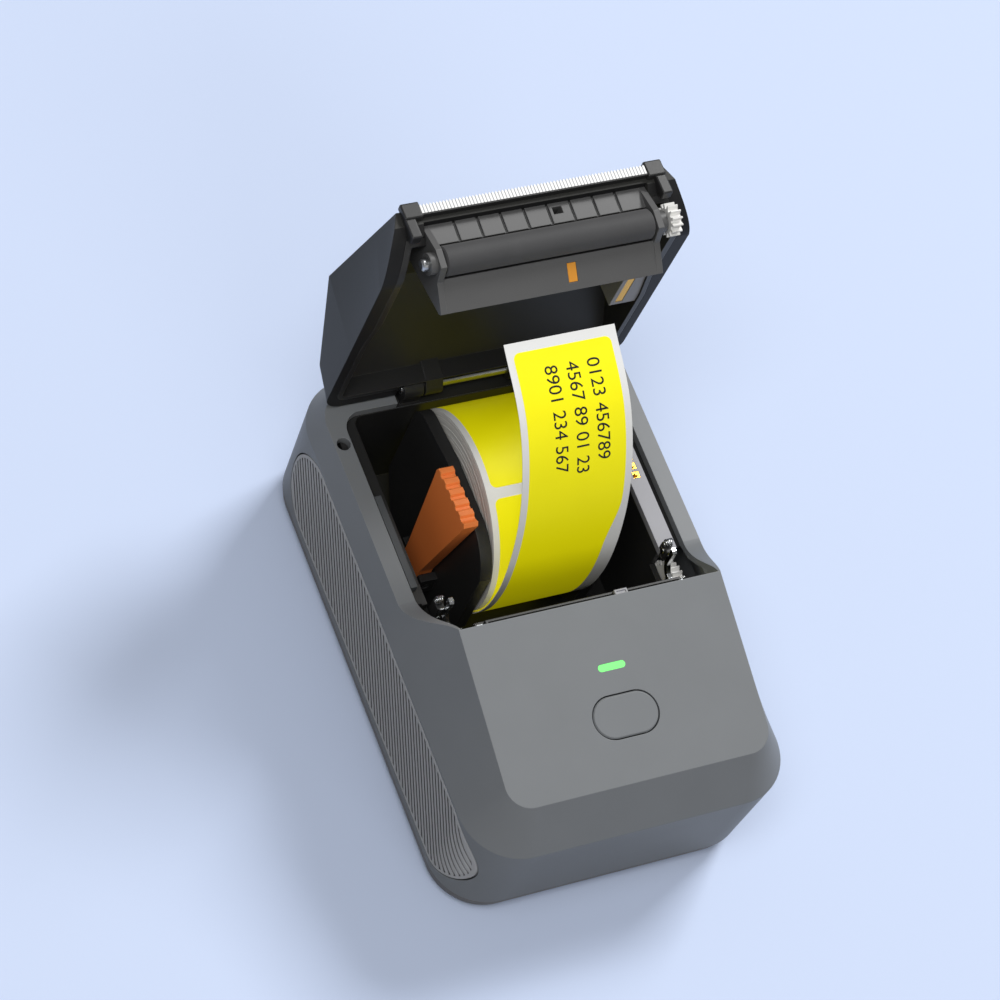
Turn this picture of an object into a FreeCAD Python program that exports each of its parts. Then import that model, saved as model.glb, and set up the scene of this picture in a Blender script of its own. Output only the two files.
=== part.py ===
import FreeCAD, Part
import math
import os
import re

import Sketcher
from FreeCAD import Placement, Rotation, Vector

# Desktop thermal label printer with its lid open, millimetres, +Z up.
# X runs to the right seen from the front, the front faces -Y, the rubber feet stand on z = 0.
# Lid pieces are drawn with the lid shut and then swung open about the hinge pin.

doc = FreeCAD.newDocument("label_printer")
sheet = doc.addObject("Spreadsheet::Sheet", "Sizes")

DIMENSIONS = {
    # moulded case
    "half_width": 41.6,
    "front_y": -69.6,
    "rear_y": 60.3,
    "corner_radius": 14,
    "crease_z": 33.8,
    "parting_z": 6,
    "tuck": 1.5,
    "base_z": 1,
    "base_inset": 2.6,
    "wall": 2.2,
    "seam": 0.15,
    # sloping front panel and the rim round the roll bay
    "exit_y": -20,
    "exit_z": 56,
    "panel_half": 34,
    "panel_low_y": -62.3,
    "panel_low_z": 45.6,
    "panel_corner": 6,
    "rim_z": 42.3,
    "rim_half": 39.75,
    "rim_rear_y": 53.3,
    "rim_corner": 9,
    "swoop_y": -4.6,
    "mouth_half": 35.3,
    "mouth_front_half": 33.4,
    "mouth_rear_y": 46.8,
    "mouth_corner": 5,
    "rim_hole_x": -37.4,
    "rim_hole_y": 39,
    "rim_hole_radius": 1.7,
    # side grips
    "grip_front_y": -65,
    "grip_rear_y": 48,
    "grip_low_z": 8,
    "grip_high_z": 32.8,
    "grip_depth": 1.4,
    "grip_groove": 0.4,
    "grip_frame": 0.8,
    "rib_pitch": 1.6,
    "rib_gap": 0.65,
    "rib_depth": 0.55,
    "rib_slant": 48,
    # lid, shut
    "hinge_y": 49.6,
    "hinge_z": 43.8,
    "hinge_open": 88,
    "pin_radius": 1.2,
    "pin_half": 19.3,
    "barrel_radius": 2.6,
    "lid_barrel_low": 9,
    "lid_barrel_high": 13.5,
    "tray_barrel_low": 14,
    "tray_barrel_high": 19,
    "trough_radius": 4.6,
    "trough_half": 20.4,
    "lid_tip_y": -15.6,
    "lid_tip_z": 55.9,
    "lid_tip_half": 33.9,
    "ridge_y": 22.5,
    "ridge_z": 63.1,
    "ridge_half": 37.8,
    "shoulder_y": 48.8,
    "shoulder_z": 49.5,
    "shoulder_half": 38.6,
    "lid_half": 39.5,
    "lid_rear_y": 50.4,
    "lid_low_z": 42.9,
    "lid_corner": 5,
    "lid_wall": 2,
    "liner_wall": 1.2,
    "lid_gap": 0.6,
    # platen and tear bar
    "platen_y": -12.6,
    "platen_z": 43.4,
    "platen_radius": 3.5,
    "platen_half": 26.3,
    "shaft_radius": 1.5,
    "shaft_left": -31.6,
    "shaft_right": 33.6,
    "running_gap": 0.04,
    "bush_radius": 2.6,
    "bush_inner": 26.8,
    "bush_outer": 30,
    "cheek_inner": 26.8,
    "cheek_outer": 28.3,
    "bracket_top_z": 52.4,
    "comb_pitch": 5.85,
    "comb_grooves": 8,
    "tear_half": 28.7,
    "tear_thick": 0.9,
    "tear_low_z": 53.9,
    "tear_high_z": 56.3,
    "tooth_pitch": 0.82,
    "tooth_height": 0.7,
    "holder_thick": 1.6,
    # gears
    "gear_module": 0.5,
    "gear_low_x": 30.55,
    "gear_high_x": 33.2,
    "platen_teeth": 14,
    "idler_teeth": 32,
    "relay_teeth": 28,
    "pinion_teeth": 12,
    "mesh_gap": 0.12,
    "idler_bearing": 270,
    "relay_bearing": 190,
    "pinion_bearing": 195,
    "axle_radius": 1,
    # roll bay
    "tray_left": -33.2,
    "tray_right": 30.2,
    "tray_front_y": -16,
    "tray_rear_y": 48,
    "tray_wall": 1.4,
    "tray_corner": 2.5,
    "floor_z": 6.6,
    "floor_thick": 1.2,
    "flange_half": 37.2,
    "flange_thick": 1.2,
    "flange_corner": 6,
    "trim_front_y": -1,
    "trim_length": 25,
    "ledge_low_x": 28.8,
    "ledge_high_x": 33.3,
    "contact_x": 31,
    "contact_y": 15.4,
    "contact_pitch": 2.5,
    "contact_count": 4,
    # roll, strip and guides
    "roll_y": 21.14,
    "roll_z": 32.06,
    "roll_radius": 24.66,
    "roll_half": 14.15,
    "core_radius": 7.9,
    "core_bore": 6.4,
    "strip_thick": 0.3,
    "guide_inner": 14.6,
    "guide_thick": 3,
    "guide_front_y": -2.6,
    "guide_rear_y": 43,
    "guide_top_z": 49.6,
    "hub_radius": 5.9,
    "hub_length": 5,
    "guide_travel": 6.2,
    "rack_z": 3.5,
    "rack_high_z": 5,
    "rack_offset": 5.06,
    "rack_width": 2.4,
    "rack_tooth": 1.66,
    "rack_reach": 14,
    "guide_teeth": 10,
    "guide_module": 0.8,
    "spindle_radius": 1.4,
    # orange lock lever on the left guide
    "lever_thick": 3.7,
    "lever_gap": 0.6,
    "lever_y": 16.5,
    "lever_foot_width": 8,
    "lever_front_y": 5.8,
    "lever_front_z": 54.1,
    "lever_rear_y": 22.9,
    "lever_rear_z": 52.9,
    "lever_ribs": 5,
    "lever_pivot_z": 16,
    "lever_pin_radius": 1,
    # print head and drive
    "head_half": 27,
    "head_face_y": -16.45,
    "head_low_z": 36.5,
    "head_high_z": 50.5,
    "head_thick": 1,
    "sink_thick": 2.6,
    "motor_radius": 9,
    "motor_low_x": 9,
    "motor_high_x": 27.4,
    "plate_low_x": 27.6,
    "plate_high_x": 28.6,
    "clip_low_x": 28.7,
    "clip_high_x": 29.8,
    "clip_bore": 2.95,
    "clip_radius": 4.3,
    # panel controls, distances down the panel from its top edge
    "button_down": 27.8,
    "button_length": 16.5,
    "button_width": 10,
    "button_gap": 0.3,
    "button_thick": 3.4,
    "light_down": 16.1,
    "light_length": 7,
    "light_width": 1.7,
    "board_drop": 8,
    "board_thick": 1.6,
    # base
    "foot_x": 29,
    "foot_front_y": -52,
    "foot_rear_y": 44,
    "foot_radius": 5.5,
    "foot_recess": 0.6,
    "boss_x": 37.4,
    "boss_front_y": -42,
    "boss_rear_y": 34,
    "boss_radius": 3.2,
    "socket_x": 18,
    "socket_z": 17,
    "socket_half_width": 4.5,
    "socket_half_height": 1.6,
}

for row, (alias, amount) in enumerate(DIMENSIONS.items(), start=1):
    sheet.set(f"A{row}", alias)
    sheet.set(f"B{row}", str(amount))
    sheet.setAlias(f"B{row}", alias)
doc.recompute()

WORD = re.compile(r"[a-z][a-z_0-9]*")
X_AXIS = Vector(1, 0, 0)
Y_AXIS = Vector(0, 1, 0)
Z_AXIS = Vector(0, 0, 1)
SINK_REAR = "head_face_y - head_thick - sink_thick"
CARRIER_FRONT = f"{SINK_REAR} - 2"
CHORD_COUNT = 4
pieces = []
shut = {}


def formula(text):
    """Turn the dimension words of a formula into references to the sheet."""
    return WORD.sub(lambda word: f"Sizes.{word[0]}" if word[0] in DIMENSIONS else word[0], str(text))


def size(text):
    """Value of a formula of the sheet's dimensions."""
    return float(sheet.evalExpression(formula(text)))


def box(name, along_x, along_y, along_z):
    """Block between two formulas on each axis."""
    block = doc.addObject("Part::Box", name)
    spans = zip(("Length", "Width", "Height"), "xyz", (along_x, along_y, along_z))
    for extent, axis, (low, high) in spans:
        block.setExpression(extent, formula(f"({high}) - ({low})"))
        block.setExpression(f"Placement.Base.{axis}", formula(low))
    return block


def rod(name, axis, centre, span, radius):
    """Cylinder along X, Y or Z; centre gives the two other coordinates in X, Y, Z order."""
    bar = doc.addObject("Part::Cylinder", name)
    bar.setExpression("Radius", formula(radius))
    bar.setExpression("Height", formula(f"({span[1]}) - ({span[0]})"))
    turns = {"x": Rotation(Y_AXIS, 90), "y": Rotation(X_AXIS, -90), "z": Rotation()}
    bar.Placement = Placement(Vector(), turns[axis])
    others = [name_of for name_of in "xyz" if name_of != axis]
    for name_of, text in zip(others + [axis], list(centre) + [span[0]]):
        bar.setExpression(f"Placement.Base.{name_of}", formula(text))
    return bar


def sketch_outline(body, name, role, outline, offset):
    """Closed sketch of straight lines whose corners are bound to the sheet."""
    sketch = body.newObject("Sketcher::SketchObject", name)
    plane = next(feature for feature in body.Origin.OriginFeatures if feature.Role == role)
    sketch.AttachmentSupport = [(plane, "")]
    sketch.MapMode = "FlatFace"
    sketch.setExpression("AttachmentOffset.Base.z", formula(offset))
    corners = [Vector(size(across), size(up), 0) for across, up in outline]
    count = len(corners)
    for index in range(count):
        sketch.addGeometry(Part.LineSegment(corners[index], corners[(index + 1) % count]))
    for index in range(count):
        sketch.addConstraint(Sketcher.Constraint("Coincident", index, 2, (index + 1) % count, 1))
    for index, (across, up) in enumerate(outline):
        corner = corners[index]
        for kind, text, amount in (("DistanceX", across, corner.x), ("DistanceY", up, corner.y)):
            bound = sketch.addConstraint(Sketcher.Constraint(kind, -1, 1, index, 1, amount))
            sketch.setExpression(f"Constraints[{bound}]", formula(text))
    return sketch


def profile(name, outline, span):
    """Body padded along X from an outline of (y, z) formulas."""
    body = doc.addObject("PartDesign::Body", name)
    sketch = sketch_outline(body, f"{name}_outline", "YZ_Plane", outline, span[0])
    pad = body.newObject("PartDesign::Pad", f"{name}_pad")
    pad.Profile = sketch
    pad.setExpression("Length", formula(f"({span[1]}) - ({span[0]})"))
    body.Tip = pad
    doc.recompute()
    return body


def turned(name, outline):
    """Body revolved about the X axis from an outline of (x, radius) formulas."""
    body = doc.addObject("PartDesign::Body", name)
    sketch = sketch_outline(body, f"{name}_outline", "XY_Plane", outline, "0")
    spin = body.newObject("PartDesign::Revolution", f"{name}_turn")
    spin.Profile = sketch
    spin.ReferenceAxis = (sketch, ["H_Axis"])
    spin.Angle = 360
    body.Tip = spin
    doc.recompute()
    return body


def along(axis):
    """Test for straight edges that run along an axis."""
    def test(edge):
        if edge.Curve.TypeId != "Part::GeomLine":
            return False
        return abs(edge.tangentAt(edge.FirstParameter).dot(axis)) > 0.999
    return test


def fuse(name, *parts):
    """Union of several objects."""
    union = doc.addObject("Part::MultiFuse", name)
    union.Shapes = list(parts)
    return union


def cut(name, base, *tools):
    """Base less the tools, one after another, each of which has to remove material."""
    result = base
    for index, tool in enumerate(tools):
        step = doc.addObject("Part::Cut", f"{name}_cut{index}")
        step.Base = result
        step.Tool = tool
        doc.recompute()
        assert step.Shape.Volume < result.Shape.Volume - 1e-6, f"{name}: tool {index} cuts nothing"
        result = step
    return result


def solid(name, shape):
    """Object that holds a shape made here."""
    feature = doc.addObject("Part::Feature", name)
    feature.Shape = shape
    return feature


def keep(label, part, lid=False):
    """Name a finished piece; a lid piece is swung open about the hinge pin."""
    part.Label = label
    if lid:
        part.Placement = lid_open().multiply(part.Placement)
    pieces.append(part)
    return part


def lid_open():
    """Placement that swings a shut lid to its open stop."""
    hinge = Vector(0, size("hinge_y"), size("hinge_z"))
    return Placement(Vector(), Rotation(X_AXIS, -size("hinge_open")), hinge)


def line(*ends):
    """Straight edge."""
    return Part.LineSegment(Vector(*ends[0]), Vector(*ends[1])).toShape()


def arc(start, middle, end):
    """Round edge through three points."""
    return Part.Arc(Vector(*start), Vector(*middle), Vector(*end)).toShape()


def mirrored(shape):
    """Twin of a shape on the other side of the middle plane."""
    return shape.mirror(Vector(), X_AXIS)


def planar(*edges):
    """Flat face inside a loop of edges."""
    return Part.Face(Part.Wire(Part.__sortEdges__(list(edges))))


def closed(faces):
    """Solid inside a set of faces that meet along their edges."""
    shell = Part.Shell(faces)
    shell.sewShape()
    body = Part.Solid(shell)
    body.fix(1e-4, 1e-4, 1e-4)
    if body.Volume < 0:
        body.reverse()
    assert body.isValid(), "the skin is not closed"
    return body


def straight(edge):
    """Whether an edge is a straight line."""
    return edge.Curve.TypeId in ("Part::GeomLine", "Part::GeomLineSegment")


def chords(edge, count):
    """Straight edges through points spread along an edge."""
    points = edge.discretize(count + 1)
    return [line(tuple(start), tuple(end)) for start, end in zip(points, points[1:])]


def paired(upper, lower, smooth):
    """Two runs of edges as matching lists: the edges themselves, or the chords that stand for them."""
    highs, lows = [], []
    for high, low in zip(upper, lower):
        count = 1 if straight(high) and straight(low) else CHORD_COUNT
        highs.append([high] if smooth else chords(high, count))
        lows.append([low] if smooth else chords(low, count))
    return highs, lows


def flat(run):
    """The edges of several lists in one list."""
    return [edge for part in run for edge in part]


def polygon(*points):
    """Flat face through corner points."""
    return Part.Face(Part.makePolygon([Vector(*point) for point in points] + [Vector(*points[0])]))


def bridged(high, low, smooth):
    """Faces between two edges: a flat face, a ruled face or, where not smooth, two flat triangles."""
    if not (straight(high) and straight(low)):
        return [Part.makeRuledSurface(high, low)]
    start, end = (high.valueAt(high.FirstParameter), high.valueAt(high.LastParameter))
    under, last = (low.valueAt(low.FirstParameter), low.valueAt(low.LastParameter))
    normal = (end - start).cross(under - start).normalize()
    if abs(normal.dot(last - start)) < 1e-6:
        return [polygon(start, end, last, under)]
    if smooth:
        return [Part.makeRuledSurface(high, low)]
    return [polygon(start, end, last), polygon(start, last, under)]


def skinned(upper, lower, caps, smooth):
    """Solid between two runs of right-hand edges, their twins and the closing faces."""
    faces = list(caps)
    for high, low in zip(flat(upper), flat(lower)):
        for side in bridged(high, low, smooth):
            faces += [side, mirrored(side)]
    return closed(faces)


def spanned(run, smooth):
    """Faces across the middle between each edge of a run and its twin."""
    return [face for edge in run for face in bridged(edge, mirrored(edge), smooth)]


def corner_arc(centre, radius, start_angle, plane_z):
    """Quarter circle in a level plane."""
    def at(angle):
        turn = math.radians(angle)
        return (centre[0] + radius * math.cos(turn), centre[1] + radius * math.sin(turn), plane_z)
    return arc(at(start_angle), at(start_angle + 45), at(start_angle + 90))


def ring(half, front, rear, radius, plane_z):
    """Closed wire of a rounded rectangle in a level plane."""
    block = Part.makeBox(2 * half, rear - front, 1, Vector(-half, front, plane_z))
    upright = [edge for edge in block.Edges if along(Z_AXIS)(edge)]
    rounded = block.makeFillet(radius, upright)
    bottom = min(rounded.Faces, key=lambda face: face.CenterOfMass.z)
    return bottom.OuterWire


def case_corner(inset, rear, level):
    """Right-hand round corner of the case in a level plane, as the leaning end walls give it."""
    turn = size("corner_radius") - inset
    reach = turn * math.hypot(1, wall_lean())
    shift = wall_lean() * (size("crease_z") - level) + inset
    middle_y = size("rear_y") - shift - reach if rear else size("front_y") + shift + reach
    centre = Vector(size("half_width") - inset - turn, middle_y, level)
    oval = Part.Ellipse(centre - Vector(0, reach, 0), centre + Vector(turn, 0, 0), centre)
    first = math.pi / 2 if rear else 0
    return Part.ArcOfEllipse(oval, first, first + math.pi / 2).toShape()


def wall_lean():
    """Inward lean of the front and rear walls for each millimetre down from the crease."""
    return size("tuck / (crease_z - parting_z)")


def ends(edge):
    """Start and end points of an edge."""
    return tuple(edge.valueAt(edge.FirstParameter)), tuple(edge.valueAt(edge.LastParameter))


def lower_form(inset, low_z, high_z, smooth=False):
    """Lower case between two levels, whose front and rear walls lean inwards towards the base."""
    half = size("half_width") - inset
    turn = size("corner_radius") - inset
    slide = wall_lean() * (high_z - low_z)
    start = wall_lean() * (size("crease_z") - high_z) + inset
    front = size("front_y") + start
    rear = size("rear_y") - start
    if smooth:
        outline = polygon((-half, front, high_z), (-half, rear, high_z), (-half, rear - slide, low_z),
                          (-half, front + slide, low_z))
        block = outline.extrude(Vector(2 * half, 0, 0))
        upright = [edge for edge in block.Edges if abs(edge.tangentAt(edge.FirstParameter).z) > 0.9]
        return block.makeFillet(turn, upright)
    front_corner = case_corner(inset, False, high_z)
    rear_corner = case_corner(inset, True, high_z)
    front_run = [line((0, front, high_z), ends(front_corner)[0])] + chords(front_corner, CHORD_COUNT)
    rear_run = chords(rear_corner, CHORD_COUNT) + [line(ends(rear_corner)[1], (0, rear, high_z))]
    faces = []
    top = []
    bottom = []
    sink = low_z - high_z
    for run, shift in ((front_run, Vector(0, slide, sink)), (rear_run, Vector(0, -slide, sink))):
        for edge in run:
            side = edge.extrude(shift)
            faces += [side, mirrored(side)]
            top += [edge, mirrored(edge)]
            bottom += [edge.translated(shift), mirrored(edge.translated(shift))]
    front_y = ends(front_corner)[1][1]
    rear_y = ends(rear_corner)[0][1]
    corners = [(half, front_y, high_z), (half, rear_y, high_z),
               (half, rear_y - slide, low_z), (half, front_y + slide, low_z)]
    side = polygon(*corners)
    for loop, pair in ((top, corners[:2]), (bottom, corners[2:])):
        edge = line(*pair)
        loop += [edge, mirrored(edge)]
    return closed(faces + [side, mirrored(side), planar(*top), planar(*bottom)])


def swoop(inset, drop):
    """Right-hand S-shaped edge from the panel's top corner down to the rim."""
    high = Vector(size("panel_half") - inset, size("exit_y"), size("exit_z") - drop)
    low = Vector(size("rim_half") - inset, size("swoop_y"), size("rim_z") - drop)
    lean = (low.x - high.x) / 3
    fall = high.z - low.z
    reach = low.y - high.y
    curve = Part.BezierCurve()
    curve.setPoles([
        high,
        high + Vector(lean * 0.6, reach * 0.26, -fall * 0.18),
        low - Vector(lean * 0.4, reach * 0.42, -fall * 0.06),
        low,
    ])
    return curve


def upper_form(inset, smooth=False):
    """Upper case from the crease to the rim and the sloping panel, drawn in by an inset."""
    half = size("half_width") - inset
    front = size("front_y") + inset
    rear = size("rear_y") - inset
    low_z = size("crease_z")
    front_corner = case_corner(inset, False, low_z)
    rear_corner = case_corner(inset, True, low_z)
    rim_z = size("rim_z") - inset
    rim_half = size("rim_half") - inset
    rim_rear = size("rim_rear_y") - inset
    rim_turn = size("rim_corner") - inset
    swoop_y = size("swoop_y")
    panel_half = size("panel_half") - inset
    panel_turn = max(size("panel_corner") - inset, 1)
    top_y = size("exit_y")
    top_z = size("exit_z") - inset
    slope = math.atan2(size("exit_z - panel_low_z"), size("exit_y - panel_low_y"))
    low_y = size("panel_low_y") + inset
    panel_low_z = top_z - (top_y - low_y) * math.tan(slope)
    down = Vector(0, math.cos(slope), math.sin(slope))
    pivot = Vector(panel_half - panel_turn, low_y, panel_low_z) + down * panel_turn
    diagonal = math.sqrt(0.5) * panel_turn
    bend = pivot + Vector(diagonal, 0, 0) - down * diagonal
    side = pivot + Vector(panel_turn, 0, 0)
    upper = [
        line((0, low_y, panel_low_z), (pivot.x, low_y, panel_low_z)),
        arc((pivot.x, low_y, panel_low_z), tuple(bend), tuple(side)),
        line(tuple(side), (panel_half, top_y, top_z)),
        swoop(inset, inset).toShape(),
        line((rim_half, swoop_y, rim_z), (rim_half, rim_rear - rim_turn, rim_z)),
        corner_arc((rim_half - rim_turn, rim_rear - rim_turn), rim_turn, 0, rim_z),
        line((rim_half - rim_turn, rim_rear, rim_z), (0, rim_rear, rim_z)),
    ]
    lower = [
        line((0, front, low_z), ends(front_corner)[0]),
        front_corner,
        line(ends(front_corner)[1], (half, top_y, low_z)),
        line((half, top_y, low_z), (half, swoop_y, low_z)),
        line((half, swoop_y, low_z), ends(rear_corner)[0]),
        rear_corner,
        line(ends(rear_corner)[1], (0, rear, low_z)),
    ]
    upper, lower = paired(upper, lower, smooth)
    panel = flat(upper[:3])
    rim = flat(upper[4:])
    ring_edges = flat(lower)
    caps = [
        planar(*panel, *map(mirrored, panel), line((panel_half, top_y, top_z), (-panel_half, top_y, top_z))),
        *spanned(upper[3], smooth),
        planar(*rim, *map(mirrored, rim), line((rim_half, swoop_y, rim_z), (-rim_half, swoop_y, rim_z))),
        planar(*ring_edges, *map(mirrored, ring_edges)),
    ]
    return skinned(upper, lower, caps, smooth)


def case_form(inset, low_z, smooth=False):
    """Whole case from a level near the base up to the rim and the panel."""
    lower = lower_form(inset, low_z, size("crease_z"), smooth)
    return lower.fuse(upper_form(inset, smooth)).removeSplitter()


def panel_frame():
    """Placement on the panel: origin at the middle of its top edge, X right, Y down the slope, Z outwards."""
    slope = math.degrees(math.atan2(size("exit_z - panel_low_z"), size("exit_y - panel_low_y")))
    flip = Rotation(X_AXIS, slope).multiply(Rotation(Z_AXIS, 180))
    return Placement(Vector(0, size("exit_y"), size("exit_z")), flip)


def stadium(length, width, low, high, down):
    """Long rounded slab on the panel between two heights, at a distance down the slope."""
    block = Part.makeBox(length, width, high - low, Vector(-length / 2, down - width / 2, low))
    slab = block.makeFillet(width / 2 - 0.01, [edge for edge in block.Edges if along(Z_AXIS)(edge)])
    slab.Placement = panel_frame().multiply(slab.Placement)
    return slab


def grip_slab(growth):
    """Long rounded prism through the case at the height of the side grips."""
    low = size("grip_low_z") - growth
    tall = size("grip_high_z") + growth - low
    front = size("grip_front_y") - growth
    deep = size("grip_rear_y") + growth - front
    wide = size("half_width + 5")
    block = Part.makeBox(wide, deep, tall, Vector(0, front, low))
    return block.makeFillet(tall / 2 - 0.01, [edge for edge in block.Edges if along(X_AXIS)(edge)])


def grip_skin(growth, low_depth, high_depth):
    """Right-hand grip patch of the case's skin between two depths."""
    low_z = size("grip_low_z") - 2
    patch = lower_form(high_depth, low_z, size("crease_z"), True).common(grip_slab(growth))
    return patch.cut(lower_form(low_depth, low_z - 1, size("crease_z") + 1))


def make_case():
    """Upper housing: moulded shell with the roll bay's mouth, control holes and bosses."""
    shell = case_form(0, size("parting_z"), True).cut(case_form(size("wall"), size("parting_z") - 1))
    mouth_y = size("exit_y")
    rear = size("mouth_rear_y")
    turn = size("mouth_corner")
    half = size("mouth_half")
    level = size("rim_z") - 8
    right = [
        line((0, mouth_y, level), (size("mouth_front_half"), mouth_y, level)),
        line((size("mouth_front_half"), mouth_y, level), (half, size("swoop_y"), level)),
        line((half, size("swoop_y"), level), (half, rear - turn, level)),
        corner_arc((half - turn, rear - turn), turn, 0, level),
        line((half - turn, rear, level), (0, rear, level)),
    ]
    mouth = planar(*right, *map(mirrored, right)).extrude(Vector(0, 0, 30))
    trough = Part.makeCylinder(size("trough_radius"), size("trough_half * 2"),
                               Vector(-size("trough_half"), size("hinge_y"), size("hinge_z")), X_AXIS)
    hole_spot = Vector(size("rim_hole_x"), size("rim_hole_y"), level)
    hole = Part.makeCylinder(size("rim_hole_radius"), 10, hole_spot)
    gap = size("button_gap")
    through = (size("button_length") + 2 * gap, size("button_width") + 2 * gap)
    button_hole = stadium(*through, -8, 4, size("button_down"))
    light_hole = stadium(size("light_length"), size("light_width"), -8, 4, size("light_down"))
    right_patch = grip_skin(size("grip_groove"), size("grip_depth"), 0)
    port = Part.makeBox(size("socket_half_width * 2 + 0.6"), 12, size("socket_half_height * 2 + 0.6"),
                        Vector(size("socket_x - socket_half_width - 0.3"), size("rear_y") - 8,
                               size("socket_z - socket_half_height - 0.3")))
    port = port.makeFillet(size("socket_half_height"), [edge for edge in port.Edges if along(Y_AXIS)(edge)])
    for tool in (mouth, trough, hole, button_hole, light_hole, right_patch, mirrored(right_patch), port):
        before = shell.Volume
        shell = shell.cut(tool)
        assert shell.Volume < before - 1e-3, "a cut in the case removes nothing"
    core = case_form(size("wall") * 0.8, size("parting_z"))
    broad = size("boss_radius")
    for x in (-size("boss_x"), size("boss_x")):
        for y in (size("boss_front_y"), size("boss_rear_y")):
            low_x = x - broad if x > 0 else x + broad - 12
            boss = Part.makeBox(12, 2 * broad, 14, Vector(low_x, y - broad, size("parting_z")))
            shell = shell.fuse(boss.common(core))
    for x in (-23, 23):
        for down in (9, 37):
            foot = Vector(x - 2, down - 2, -size("board_drop"))
            post = Part.makeBox(4, 4, size("board_drop - wall / 2"), foot)
            post.Placement = panel_frame().multiply(post.Placement)
            shell = shell.fuse(post)
    shelf_z = size("socket_z - socket_half_height") - 3.6
    shelf = Part.makeBox(16, 8, 2, Vector(size("socket_x") - 8, size("rear_y") - 7, shelf_z))
    shell = shell.fuse(shelf.common(core))
    keep("upper_housing", solid("upper_housing", shell.removeSplitter()))


def make_grips():
    """Ribbed side grips: curved inserts with slanting grooves."""
    insert = grip_skin(0, size("grip_depth"), 0)
    slant = math.radians(size("rib_slant"))
    middle = Vector(0, size("(grip_front_y + grip_rear_y) / 2"), size("(grip_low_z + grip_high_z) / 2"))
    across = Vector(0, -math.sin(slant), math.cos(slant))
    reach = size("grip_rear_y - grip_front_y") * math.sin(slant) / 2 + 6
    count = int(reach / size("rib_pitch"))
    slots = []
    for index in range(-count, count + 1):
        slot = Part.makeBox(size("half_width"), 160, size("rib_gap"), Vector(5, -80, -size("rib_gap") / 2))
        place = Placement(middle + across * (index * size("rib_pitch")), Rotation(X_AXIS, math.degrees(slant)))
        slot.Placement = place.multiply(slot.Placement)
        slots.append(slot)
    inner = lower_form(size("rib_depth"), size("grip_low_z") - 2, size("crease_z"))
    window = grip_slab(-size("grip_frame"))
    grooves = Part.makeCompound(slots).common(window).cut(inner)
    right = insert.cut(grooves)
    assert right.Volume < insert.Volume - 1, "the grip grooves cut nothing"
    keep("right_grip", solid("right_grip", right))
    keep("left_grip", solid("left_grip", mirrored(right)))


def make_bottom():
    """Bottom cover with a rounded edge, recesses for the feet and posts that meet the housing's bosses."""
    top = size("parting_z - seam")
    inset = size("base_inset")
    tuck = size("tuck")
    half = size("half_width")
    turn = size("corner_radius")
    rings = []
    for draw_in, level in ((0, top), (inset * 0.3, size("base_z") + 1.8), (inset, size("base_z"))):
        rings.append(ring(half - draw_in, size("front_y") + tuck + draw_in, size("rear_y") - tuck - draw_in,
                          turn - draw_in, level))
    floor = size("base_z") + 2
    inside = [ring(half - 3, size("front_y") + tuck + 3, size("rear_y") - tuck - 3, turn - 3, level)
              for level in (floor, top + 1)]
    shell = Part.makeLoft(rings, True, True).cut(Part.makeLoft(inside, True, True))
    broad = size("boss_radius")
    for x in (-1, 1):
        for y in (size("foot_front_y"), size("foot_rear_y")):
            spot = Vector(x * size("foot_x"), y, size("base_z"))
            shell = shell.cut(Part.makeCylinder(size("foot_radius"), size("foot_recess"), spot))
        for y in (size("boss_front_y"), size("boss_rear_y")):
            spot = Vector(x * size("boss_x") - broad, y - broad, floor - 0.5)
            shell = shell.fuse(Part.makeBox(2 * broad, 2 * broad, size("parting_z") - spot.z, spot))
    keep("bottom_cover", solid("bottom_cover", shell.removeSplitter()))


def make_feet():
    """Rubber feet let into the base, one node of four separate solids."""
    feet = []
    for x in (-size("foot_x"), size("foot_x")):
        for y in (size("foot_front_y"), size("foot_rear_y")):
            feet.append(Part.makeCylinder(size("foot_radius"), size("base_z + foot_recess"), Vector(x, y, 0)))
    keep("rubber_feet", solid("rubber_feet", Part.makeCompound(feet)))


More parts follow.
